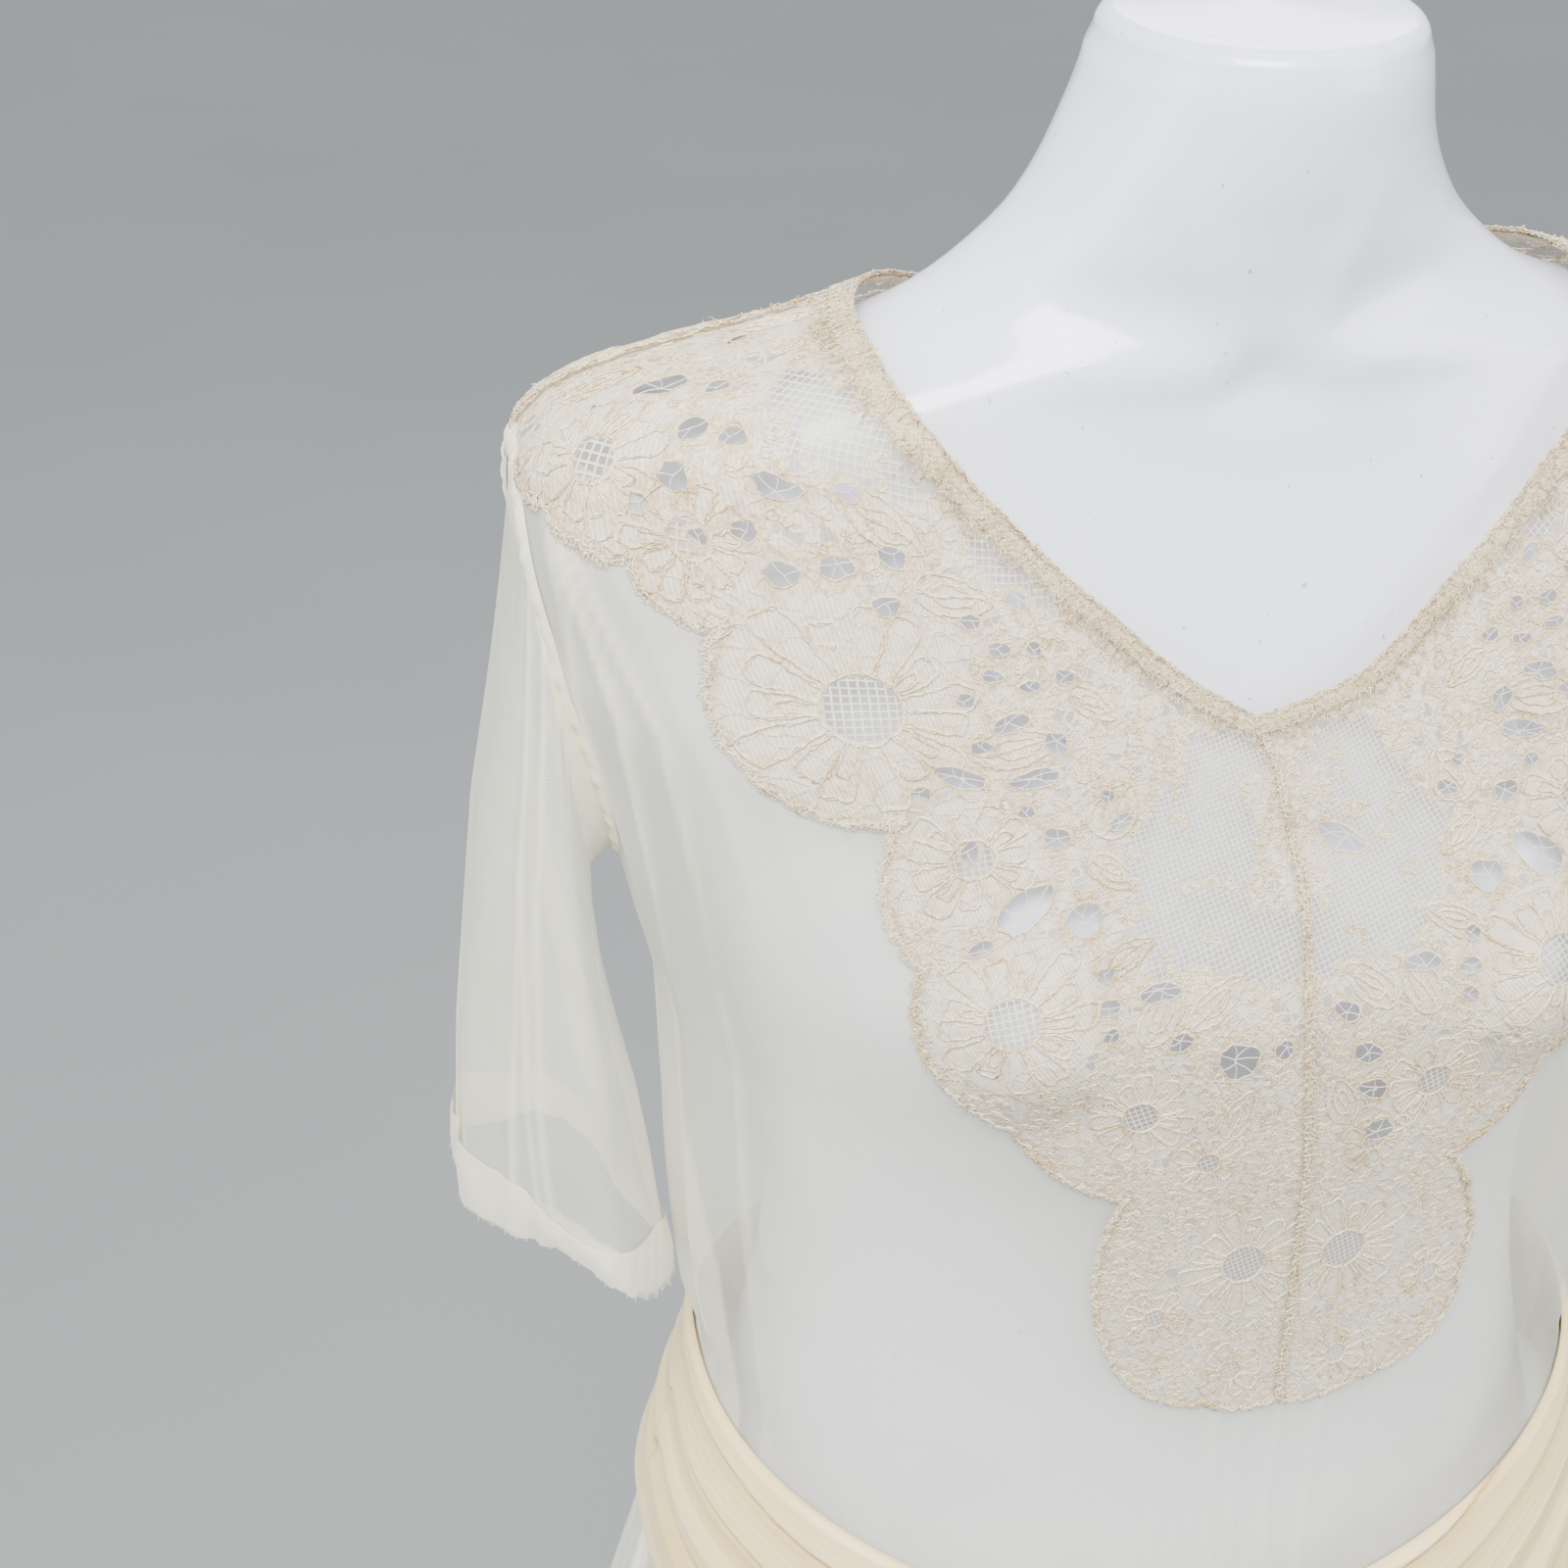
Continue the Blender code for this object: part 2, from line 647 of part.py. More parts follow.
def build_form():
    """The dress form: one smooth shell from the hips to the domed top of the neck."""
    rings = [form_ring(height) for height in FORM_LEVELS]
    for angle in (30, 60, 90):
        turn = math.radians(angle)
        rings.append([(x, y, NECK_TOP - NECK_ROUND * (1 - math.sin(turn)))
                      for x, y, _ in form_ring(NECK_TOP, NECK_ROUND * (1 - math.cos(turn)))])
    points = [p for ring in rings for p in ring]
    faces = []
    for level in range(len(rings) - 1):
        for side in range(FORM_SIDES):
            after = (side + 1) % FORM_SIDES
            low = level * FORM_SIDES
            faces.append((low + side, low + after, low + after + FORM_SIDES, low + side + FORM_SIDES))
    faces.append(tuple(reversed(range(FORM_SIDES))))
    top = (len(rings) - 1) * FORM_SIDES
    faces.append(tuple(range(top, top + FORM_SIDES)))
    new_object("form_torso", points, faces, "gloss_shell")


def turned(name, profile, material, sides=32):
    """A solid turned round the upright axis from a profile of radius and height."""
    built = bmesh.new()
    verts = [built.verts.new((radius * MILLIMETRE, 0, height * MILLIMETRE)) for radius, height in profile]
    edges = [built.edges.new(pair) for pair in zip(verts, verts[1:])]
    bmesh.ops.spin(built, geom=verts + edges, axis=(0, 0, 1), cent=(0, 0, 0), steps=sides,
                   angle=math.radians(360), use_merge=True)
    bmesh.ops.remove_doubles(built, verts=built.verts, dist=1e-6)
    mesh = bpy.data.meshes.new(name)
    built.to_mesh(mesh)
    built.free()
    place_mesh(name, mesh, material)


def build_stand():
    edge = BASE_RADIUS - BASE_EDGE
    turned("stand_base", ((0, 0), (edge, 0), (BASE_RADIUS, BASE_EDGE), (BASE_RADIUS, BASE_THICK - BASE_EDGE),
                          (edge, BASE_THICK), (0, BASE_THICK)), "painted_base", 32)
    foot = BASE_THICK + SEAM_GAP
    turned("stand_pole", ((0, foot), (COLLAR_RADIUS, foot), (COLLAR_RADIUS, foot + COLLAR_TALL * 0.3),
                          (POLE_RADIUS + 2, foot + COLLAR_TALL), (POLE_RADIUS, foot + COLLAR_TALL),
                          (POLE_RADIUS, FORM_FOOT - SEAM_GAP), (0, FORM_FOOT - SEAM_GAP)),
           "polished_metal", 16)


def band_edge(neckline, wide):
    """The neckline moved down into the lace by the band's width."""
    line = []
    for i, (x, y) in enumerate(neckline):
        x0, y0 = neckline[max(i - 1, 0)]
        x1, y1 = neckline[min(i + 1, len(neckline) - 1)]
        long = math.hypot(x1 - x0, y1 - y0)
        line.append((x + wide * (y1 - y0) / long, y - wide * (x1 - x0) / long))
    return line


def front_lace(side):
    """Outline of one half of the front lace: armhole, scallops, centre seam, neckline, shoulder."""
    half_gap = SEAM_GAP / 2
    if side < 0:
        edge = scallops(SCALLOPS_FRONT)
        neck = along(NECKLINE_FRONT, 14)
    else:
        places = other_half([row[:2] for row in SCALLOPS_FRONT])
        edge = scallops([place + row[2:] for place, row in zip(places, SCALLOPS_FRONT)], -1)
        neck = along([(-x, y) for x, y in NECKLINE_FRONT[:-1]] + [NECKLINE_FRONT[-1]], 14)
    seam = shifted(along(FRONT_SEAM, 12), side * half_gap)
    shoulder = [(side * (SIDE - half_gap), y) for _, y in along([(0, rise) for rise in SHOULDER_SEAM], 12)]
    edge[-1] = (edge[-1][0] + side * half_gap, edge[-1][1])
    neck[-1] = (neck[-1][0] + side * half_gap, neck[-1][1])
    neck[0] = shoulder[0]
    return edge[:-1] + list(reversed(seam))[:-1] + list(reversed(neck))[:-1] + shoulder, neck


def build_front():
    """Bodice front, the two lace halves over it and the bands of the V neck, from one pattern."""
    half_gap = SEAM_GAP / 2
    left, left_neck = front_lace(-1)
    right, right_neck = front_lace(1)
    arm = armhole(-SIDE, 4, 157)
    side_seam = [(-SIDE + half_gap, y) for _, y in along(((0, waist_seam(-SIDE)), (0, UNDERARM)), 20)]
    half = side_seam + arm + along(CHIFFON_TOP_FRONT, 14)
    waist = [(x, float(waist_seam(x)) + half_gap) for x, _ in along(((SIDE, 0), (-SIDE, 0)), 16)][1:-1]
    other = list(reversed(other_half(half)))
    chiffon = half + along((half[-1], CHIFFON_TOP_MIDDLE, other[0]), 14)[1:-1] + other + waist
    bands = []
    for neck in (left_neck, right_neck):
        sign = 1 if neck is left_neck else -1
        low = band_edge(neck, sign * BAND_WIDE)
        low[-1] = (neck[-1][0], neck[-1][1] - BAND_WIDE * 1.3)
        low[0] = (neck[0][0], neck[0][1] - BAND_WIDE)
        bands.append(neck + list(reversed(low)))
    gaps = [oval(*row) for row in GAPS_LEFT]
    gaps += [oval(*other_half([row[:2]])[0], *row[2:4], -row[4])
             for row in GAPS_LEFT if -row[0] > MIRRORED_BEYOND]
    gaps += [oval(*row) for row in GAPS_RIGHT_OF_SEAM]
    flat, triangles, held = cut_pattern([chiffon, left, right] + bands + gaps, MESH_STEP)
    open_gap = np.any(held[5:], axis=0)
    over = CHIFFON + SEAM_GAP
    cloth_wall("bodice_front", flat, chosen(triangles, held[0]), 0.0, CHIFFON, "chiffon")
    for number, word in ((1, "left"), (2, "right")):
        lace = chosen(triangles, held[number] & ~open_gap)
        cloth_wall(f"lace_front_{word}", flat, lace, over, LACE, "lace_thread")
        band = chosen(triangles, held[number + 2] & held[number])
        cloth_wall(f"neck_band_{word}", flat, band, over + LACE + SEAM_GAP, BAND, "lace_band")


def build_back():
    """Bodice back, its lace yoke and the band of the back neck, from one pattern."""
    half_gap = SEAM_GAP / 2
    shoulder = [(SIDE + half_gap, y) for _, y in along([(0, rise) for rise in reversed(SHOULDER_SEAM)], 12)]
    neck = along(NECKLINE_BACK, 16)
    neck[0] = shoulder[-1]
    edge = scallops(SCALLOPS_BACK)
    half = list(reversed(edge)) + shoulder[:-1] + neck
    lace = half[:-1] + mirrored(half, BACK)[:-1]
    low = [(x, y - BAND_WIDE) for x, y in neck]
    band_half = list(reversed(low)) + neck
    band = band_half[:-1] + mirrored(band_half, BACK)[1:-1]
    side_seam = [(SIDE + half_gap, y) for _, y in along(((0, waist_seam(SIDE)), (0, UNDERARM)), 20)]
    arm = armhole(SIDE, 4, 150)
    half = side_seam + arm + along(CHIFFON_TOP_BACK, 16)
    last = 2 * BACK - SIDE
    waist = [(x, float(waist_seam(x)) + half_gap) for x, _ in along(((last, 0), (SIDE, 0)), 18)][1:-1]
    chiffon = half[:-1] + mirrored(half, BACK) + waist
    gaps = []
    for start, end, count, long, wide in GAP_BACK_ROWS:
        for number in range(count):
            part = (number + 0.5) / count
            place = 228 + (BACK - 228) * part
            rise = start + (end - start) * part**0.8
            for sign in (-1, 1):
                gaps.append(oval(BACK + sign * (BACK - place), rise, long, wide, -20 * sign))
    flat, triangles, held = cut_pattern([chiffon, lace, band] + gaps, MESH_STEP + 4)
    open_gap = np.any(held[3:], axis=0)
    over = CHIFFON + SEAM_GAP
    cloth_wall("bodice_back", flat, chosen(triangles, held[0]), 0.0, CHIFFON, "chiffon")
    cloth_wall("lace_back", flat, chosen(triangles, held[1] & ~open_gap), over, LACE, "lace_thread")
    band = chosen(triangles, held[2] & held[1])
    cloth_wall("neck_band_back", flat, band, over + LACE + SEAM_GAP, BAND, "lace_band")


def sleeve_grid(side, move):
    """Rings of points down a sleeve, each moved outward from the ring's middle by a distance."""
    grid = []
    for number, (outer_x, outer_z, inner_x, inner_z, half_deep) in enumerate(SLEEVE_RINGS):
        grown = number / (len(SLEEVE_RINGS) - 1)
        middle = np.array([(outer_x + inner_x) / 2, MID_Y * (1 - grown), (outer_z + inner_z) / 2])
        half = np.array([(outer_x - inner_x) / 2, 0, (outer_z - inner_z) / 2])
        ring = []
        for step in range(SLEEVE_SIDES):
            angle = 2 * math.pi * step / SLEEVE_SIDES
            wave = SLEEVE_WAVE * grown * math.cos(SLEEVE_WAVES * angle + 1.2)
            across = np.array([SLEEVE_SLANT * grown, half_deep, 0])
            arm = half * math.cos(angle) + across * math.sin(angle)
            point = middle + arm * (1 + (wave + move) / np.linalg.norm(arm))
            point[2] -= HEM_WAVE * grown**3 * math.sin(2 * angle)
            ring.append(point * (side, 1, 1))
        grid.append(ring)
    return np.array(grid)


def armhole_ring(side, shrink, out):
    """The sleeve's first ring, which stands just inside the edge of the armhole."""
    ring = []
    for step in range(SLEEVE_SIDES):
        angle = 2 * math.pi * step / SLEEVE_SIDES
        around = side * (SIDE + (ARMHOLE_HALF_DEEP - shrink) * math.sin(angle))
        ring.append((around, ARMHOLE_RISE + (ARMHOLE_HALF_TALL - shrink) * math.cos(angle)))
    ring = np.array(ring)
    return cloth(ring[:, 0], ring[:, 1], np.full(len(ring), out))


def build_sleeve(side, word):
    """One sleeve, whose top lies inside the armhole and a little thinner than the rest."""
    first_in = armhole_ring(side, SLEEVE_INSIDE_HOLE + 0.9, 0.2)
    first_out = armhole_ring(side, SLEEVE_INSIDE_HOLE, 0.9)
    inside = np.concatenate([first_in[None], sleeve_grid(side, -CHIFFON)])
    outside = np.concatenate([first_out[None], sleeve_grid(side, 0.0)])
    tube_wall(f"sleeve_{word}", inside, outside, "chiffon")
    build_cuff(side, word)


def build_cuff(side, word):
    """The band turned up outside the sleeve's hem, with a wavy upper edge."""
    outer = sleeve_grid(side, SEAM_GAP)
    thicker = sleeve_grid(side, SEAM_GAP + 2 * CHIFFON)
    rows_in, rows_out = [], []
    for part in (0.0, 0.5, 1.0):
        ring_in, ring_out = [], []
        for step in range(SLEEVE_SIDES):
            angle = 2 * math.pi * step / SLEEVE_SIDES
            wave = CUFF_WAVE * math.cos(3 * angle + 0.6) * part
            up = (CUFF_TALL * part + wave) / math.dist(outer[-1][step], outer[-2][step])
            ring_in.append(outer[-1][step] + (outer[-2][step] - outer[-1][step]) * up)
            ring_out.append(thicker[-1][step] + (thicker[-2][step] - thicker[-1][step]) * up)
        rows_in.append(ring_in)
        rows_out.append(ring_out)
    tube_wall(f"cuff_{word}", np.array(rows_in), np.array(rows_out), "chiffon")


def build_skirt(name, start, end):
    """Half of the skirt, from the waist seam under the sash to the hem, falling into soft folds."""
    around = np.linspace(start + SEAM_GAP / 2, end - SEAM_GAP / 2, SKIRT_COLUMNS)
    top = waist_seam(around) - SEAM_GAP / 2
    part = (np.arange(SKIRT_ROWS + 1) / SKIRT_ROWS)[:, None] ** 1.25
    rise = top[None] + (HEM - top[None]) * part
    around = np.broadcast_to(around, rise.shape)
    inside = cloth(around, rise, np.zeros(rise.shape), folds_of_skirt)
    outside = cloth(around, rise, np.full(rise.shape, CHIFFON), folds_of_skirt)
    tube_wall(name, inside, outside, "chiffon", closed=False)


def sash_out(around, part):
    """How far the sash stands off the dress: long folds that drift down towards the front."""
    drift = 0.9 * np.cos(np.radians(around / PER_DEGREE)) + 0.25 * np.sin(np.radians(3 * around / PER_DEGREE))
    fold = 0.5 + 0.5 * np.cos(2 * np.pi * (SASH_FOLDS * part + drift))
    ends = np.sin(np.pi * np.clip(part, 0, 1)) ** 0.5
    return SASH_STANDS_OFF + SASH_OVER_GATHERS * (1 - part) + SASH_FOLD * fold * (0.25 + 0.75 * ends)


def build_sash(name, start, end, columns):
    """One stretch of the sash, between two places round the body."""
    around = np.linspace(start, end, columns)
    part = np.linspace(0, 1, SASH_ROWS)[:, None]
    rise = sash_top(around)[None] - SASH_WIDE * (1 - part)
    around = np.broadcast_to(around, rise.shape)
    out = sash_out(around, part)
    inside = cloth(around, rise, out, no_folds)
    outside = cloth(around, rise, out + SATIN, no_folds)
    tube_wall(name, inside, outside, "satin", closed=False)


def no_folds(around, rise):
    return 0 * rise


def build_knot():
    """The knot at the centre back and the two tails that hang from it."""
    over_sash = SASH_STANDS_OFF + SASH_OVER_GATHERS + SASH_FOLD + SATIN - KNOT_SUNK
    middle = cloth([BACK], [float(waist_seam(BACK))], [over_sash], no_folds)[0]
    built = bmesh.new()
    bmesh.ops.create_uvsphere(built, u_segments=14, v_segments=10, radius=1.0)
    half = Vector(KNOT_HALF)
    for vert in built.verts:
        pinch = 1 - KNOT_PINCH * math.cos(6 * math.atan2(vert.co.y, vert.co.x))
        vert.co = Vector((vert.co.x * half.x * pinch, vert.co.y * half.y * pinch, vert.co.z * half.z))
        vert.co += Vector((middle[0], middle[1] + half.y, middle[2]))
        vert.co *= MILLIMETRE
    mesh = bpy.data.meshes.new("sash_knot")
    built.to_mesh(mesh)
    built.free()
    place_mesh("sash_knot", mesh, "satin")
    for side, word in ((-1, "left"), (1, "right")):
        build_tail(side, word, middle[2] - half.z - TAIL_BELOW_KNOT)


def build_tail(side, word, top):
    """One tail, which widens on its way down and lies over the skirt in shallow ripples."""
    part = (np.arange(TAIL_ROWS) / (TAIL_ROWS - 1))[:, None]
    across = np.linspace(-1, 1, TAIL_COLUMNS)[None]
    long = TAIL_LONG * (1.0 if side < 0 else RIGHT_TAIL_SHARE)
    rise = top - long * part + 0 * across
    half = TAIL_TOP_HALF + (TAIL_END_HALF - TAIL_TOP_HALF) * part**0.8
    centre = BACK + side * (TAIL_TOP_HALF + TAIL_BESIDE_MIDDLE + TAIL_SPREAD * part**0.9)
    around = centre + half * across
    ripple = TAIL_RIPPLE * (0.5 + 0.5 * np.cos(3 * math.pi * across + side + 2 * part)) * (0.5 + 0.5 * part)
    out = TAIL_OFF_SASH * (1 - part) ** 2 + TAIL_OFF_SKIRT + fold_depth_of_skirt(rise) + ripple
    inside = cloth(around, rise, out, no_folds)
    outside = cloth(around, rise, out + SATIN, no_folds)
    tube_wall(f"sash_tail_{word}", inside, outside, "satin", closed=False)


def main():
    for old in list(bpy.data.objects):
        bpy.data.objects.remove(old, do_unlink=True)
    for name, (colour, roughness, metallic) in MATERIALS.items():
        material = bpy.data.materials.new(name)
        material.use_nodes = True
        shader = material.node_tree.nodes["Principled BSDF"]
        shader.inputs["Base Color"].default_value = colour
        shader.inputs["Roughness"].default_value = roughness
        shader.inputs["Metallic"].default_value = metallic
        material.diffuse_color = colour
    build_stand()
    build_form()
    build_front()
    build_back()
    for side, word in ((-1, "left"), (1, "right")):
        build_sleeve(side, word)
    build_skirt("skirt_front", -SIDE, SIDE)
    build_skirt("skirt_back", SIDE, 2 * BACK - SIDE)
    build_sash("sash_front", -SIDE + SEAM_GAP / 2, SIDE - SEAM_GAP / 2, SASH_COLUMNS)
    build_sash("sash_back_right", SIDE + SEAM_GAP / 2, BACK - SASH_ENDS_APART / 2, SASH_COLUMNS // 2)
    build_sash("sash_back_left", BACK + SASH_ENDS_APART / 2, 2 * BACK - SIDE - SEAM_GAP / 2, SASH_COLUMNS // 2)
    build_knot()


main()
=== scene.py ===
"""Looks of the sheer chiffon dress with its lace yoke and satin sash, on a smooth dress form.

Everything is worked out in millimetres and placed in metres. +Z is up and the front of the dress faces -Y.
The cloth lies on a flat pattern: "around" runs round the body from the centre front, and "rise" is the
height, which bends inward over the shoulders above the PIVOT height.
"""

import math

import bmesh
import bpy
import numpy as np
from mathutils import Matrix, Vector, kdtree


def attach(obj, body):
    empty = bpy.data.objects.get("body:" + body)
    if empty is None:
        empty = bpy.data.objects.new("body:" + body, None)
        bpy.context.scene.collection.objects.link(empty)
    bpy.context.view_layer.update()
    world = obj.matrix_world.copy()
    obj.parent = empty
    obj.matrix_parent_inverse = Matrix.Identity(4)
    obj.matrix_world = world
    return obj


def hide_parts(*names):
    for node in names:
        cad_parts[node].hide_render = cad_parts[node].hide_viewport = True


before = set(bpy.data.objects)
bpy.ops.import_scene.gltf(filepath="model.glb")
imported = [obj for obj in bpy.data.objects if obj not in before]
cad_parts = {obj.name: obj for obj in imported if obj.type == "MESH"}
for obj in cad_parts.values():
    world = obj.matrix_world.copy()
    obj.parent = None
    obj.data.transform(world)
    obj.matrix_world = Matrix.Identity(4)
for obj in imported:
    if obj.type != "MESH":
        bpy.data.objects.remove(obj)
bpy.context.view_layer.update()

MILLIMETRE = 0.001

# Camera: the photograph's viewpoint, with its focal length in pixels of the 1600 pixel frame
CAMERA_AT = (-248.0, -686.0, 1672.0)
CAMERA_DOWN = 30.45
CAMERA_YAW = 10.4
CAMERA_ROLL = -0.6
FOCAL_PIXELS = 2700.0
FRAME_PIXELS = 1600.0
SENSOR = 36.0

# The pattern
MID_Y = 5.0
PIVOT = 1262.0
TILT_REACH = 135.0
PER_DEGREE = 2.3
SIDE = 90 * PER_DEGREE
BACK = 180 * PER_DEGREE
SEAM_GAP = 0.3

# Cloth
CHIFFON = 1.0
LACE = 1.0
BAND_WIDE = 8.0
SATIN = 1.6
BAND_PLEAT = 0.5
CLEAR_OF_BODY = 1.4
CLEAR_AT_SHOULDER = -0.4
SHOULDER_FROM = 1338.0
SHOULDER_TO = 1356.0
EASE = 2.5
OVER_CHIFFON = 1.5
OVER_LACE = 2.2
OVER_BAND = 3.4
LACE_STEP = 1.1
FILLING_APART = 8.0

# Armhole and sleeve
ARMHOLE_RISE = 1292.0
ARMHOLE_HALF_TALL = 43.0
ARMHOLE_HALF_DEEP = 25.0
SLEEVE_WAVES = 5
SLEEVE_WAVE = 2.6
SLEEVE_SLANT = 14.0
HEM_WAVE = 5.0
CUFF_TALL = 22.0
CUFF_WAVE = 3.0

# Sash and skirt
SASH_TOP = 1043.0
SASH_FRONT_DIP = 50.0
SASH_WIDE = 82.0
SASH_FOLDS = 3.4
SASH_FOLD = 4.4
SASH_STANDS_OFF = 2.2
SASH_OVER_GATHERS = 2.0
HEM = 330.0
SKIRT_FOLDS = 15
SKIRT_FOLD = 26.0
TAIL_LONG = 390.0
TAIL_TOP_HALF = 9.0
TAIL_END_HALF = 42.0
TAIL_BELOW_KNOT = 4.7
KNOT_SUNK = 0.4

FORM_FOOT = 775.0
NECK_TOP = 1494.0
NECK_ROUND = 6.0
FORM_IN_CLOTH = 0.94

BUST = {"across": 76.0, "height": 1230.0, "out": 30.0, "wide": 40.0, "tall": 42.0}
FIGURE_RINGS = (
    (775, 146, 84, 92, 2.3, 0, 6),
    (800, 160, 94, 104, 2.3, 0, 6),
    (860, 171, 101, 112, 2.3, 0, 5),
    (920, 167, 99, 108, 2.3, 0, 4),
    (980, 153, 95, 94, 2.3, 0, 3),
    (1030, 140, 91, 82, 2.3, 0, 2),
    (1080, 131, 86, 75, 2.3, 0, 0),
    (1110, 129, 85, 74, 2.3, 0, 0),
    (1150, 132, 87, 78, 2.3, 0, 0),
    (1192, 140, 92, 86, 2.3, 0, 0),
    (1240, 149, 97, 92, 2.3, 0, 0),
    (1290, 163, 92, 97, 2.4, 0, 0),
    (1330, 178, 82, 90, 2.5, 0, 2),
    (1358, 184, 72, 80, 2.5, 0, 2),
    (1380, 181, 63, 66, 2.4, 0, 0),
    (1393, 167, 57, 55, 2.2, 0, -4),
    (1402, 142, 52, 47, 2.1, 0, -7),
    (1409, 116, 49, 43, 2.0, 0, -9),
    (1416, 95, 48, 42, 2.0, 0, -10),
    (1427, 78, 47, 42, 2.0, 1, -11),
    (1443, 62, 47, 43, 2.0, 2, -13),
    (1462, 52, 49, 44, 2.0, 3, -14),
    (1479, 47, 50, 44, 2.0, 5, -14),
    (1494, 44, 50, 44, 2.0, 6, -13),
)
DRESS_RINGS = (
    (330, 292, 256, 250, 2.1, 0, 3),
    (600, 246, 206, 200, 2.1, 0, 3),
    (780, 212, 166, 160, 2.2, 0, 3),
    (880, 191, 139, 133, 2.3, 0, 3),
    (940, 176, 122, 116, 2.3, 0, 3),
    (970, 170, 116, 109, 2.3, 0, 3),
    (1000, 162, 110, 101, 2.3, 0, 2),
    (1046, 153, 104, 94, 2.3, 0, 2),
    (1091, 158, 105, 95, 2.3, 0, 2),
    (1148, 162, 110, 97, 2.3, 0, 2),
    (1193, 163, 117, 100, 2.3, 0, 2),
    (1233, 171, 120, 103, 2.35, 0, 2),
    (1262, 177, 114, 104, 2.5, 0, 3),
    (1291, 185, 103, 103, 2.7, 0, 4),
    (1327, 195, 90, 96, 3.0, 0, 4),
    (1357, 199, 78, 84, 3.0, 0, 2),
    (1380, 197, 68, 70, 2.8, 0, 0),
    (1392, 188, 62, 58, 2.6, 0, -4),
    (1399.5, 172, 57, 50, 2.4, 0, -7),
    (1405.5, 148, 53, 44, 2.2, 0, -9),
    (1411, 122, 51, 42, 2.1, 0, -10),
    (1416, 104, 50, 42, 2.0, 0, -10),
    (1428, 82, 49, 43, 2.0, 0, -11),
    (1444, 66, 49, 44, 2.0, 1, -12),
)

BODICE_FOLDS = (
    (-196, 985, 1240, 6, 3.8),
    (-178, 985, 1190, 6, 3.0),
    (-150, 985, 1120, 8, 2.6),
    (-112, 985, 1090, 9, 2.2),
    (-60, 985, 1070, 9, 1.8),
    (48, 985, 1075, 9, 2.0),
    (104, 985, 1110, 9, 2.4),
    (152, 985, 1130, 8, 2.8),
    (180, 985, 1200, 6, 3.2),
    (197, 985, 1235, 6, 3.6),
    (240, 985, 1190, 9, 3.4),
    (290, 985, 1150, 10, 3.0),
    (345, 985, 1130, 10, 2.6),
    (414, 985, 1120, 11, 2.2),
    (480, 985, 1140, 10, 2.8),
    (538, 985, 1160, 10, 3.2),
    (592, 985, 1190, 9, 3.4),
)
NECKLINE_FRONT = ((-207, 1399), (-186, 1394), (-160, 1389), (-132, 1382), (-105, 1375),
                  (-69, 1364), (-32, 1347), (-11, 1338))

NECKLINE_BACK = ((207, 1399), (250, 1408), (300, 1417), (357, 1423), (414, 1425))
FRONT_SEAM = ((-11, 1338), (-3, 1319), (4, 1280), (5, 1234), (13, 1175), (17, 1126), (18, 1082))

SCALLOPS_FRONT = (
    (-197, 1336, 0),
    (-184, 1334, 2),
    (-166, 1334, 3),
    (-149, 1330, 4),
    (-142, 1303, 4),
    (-111, 1298, 5),
    (-101, 1258, 6),
    (-78, 1207, 9),
    (-45, 1177, 6),
    (-43, 1099, 10),
    (-12, 1085, 4),
    (18, 1082, 3),
)
SCALLOPS_BACK = (
    (215, 1334, 0),
    (240, 1328, 4),
    (268, 1316, 5),
    (300, 1300, 6),
    (334, 1281, 6),
    (370, 1262, 6),
    (414, 1250, 7),
)
CHIFFON_TOP_FRONT = ((-190, 1341), (-168, 1343), (-150, 1340), (-138, 1326), (-131, 1307), (-107, 1304),
                     (-100, 1290), (-95, 1262), (-86, 1234), (-70, 1215), (-36, 1186), (-35, 1106))
CHIFFON_TOP_MIDDLE = (18, 1093)
CHIFFON_TOP_BACK = ((222, 1341), (250, 1334), (282, 1320), (318, 1300), (360, 1278), (414, 1262))

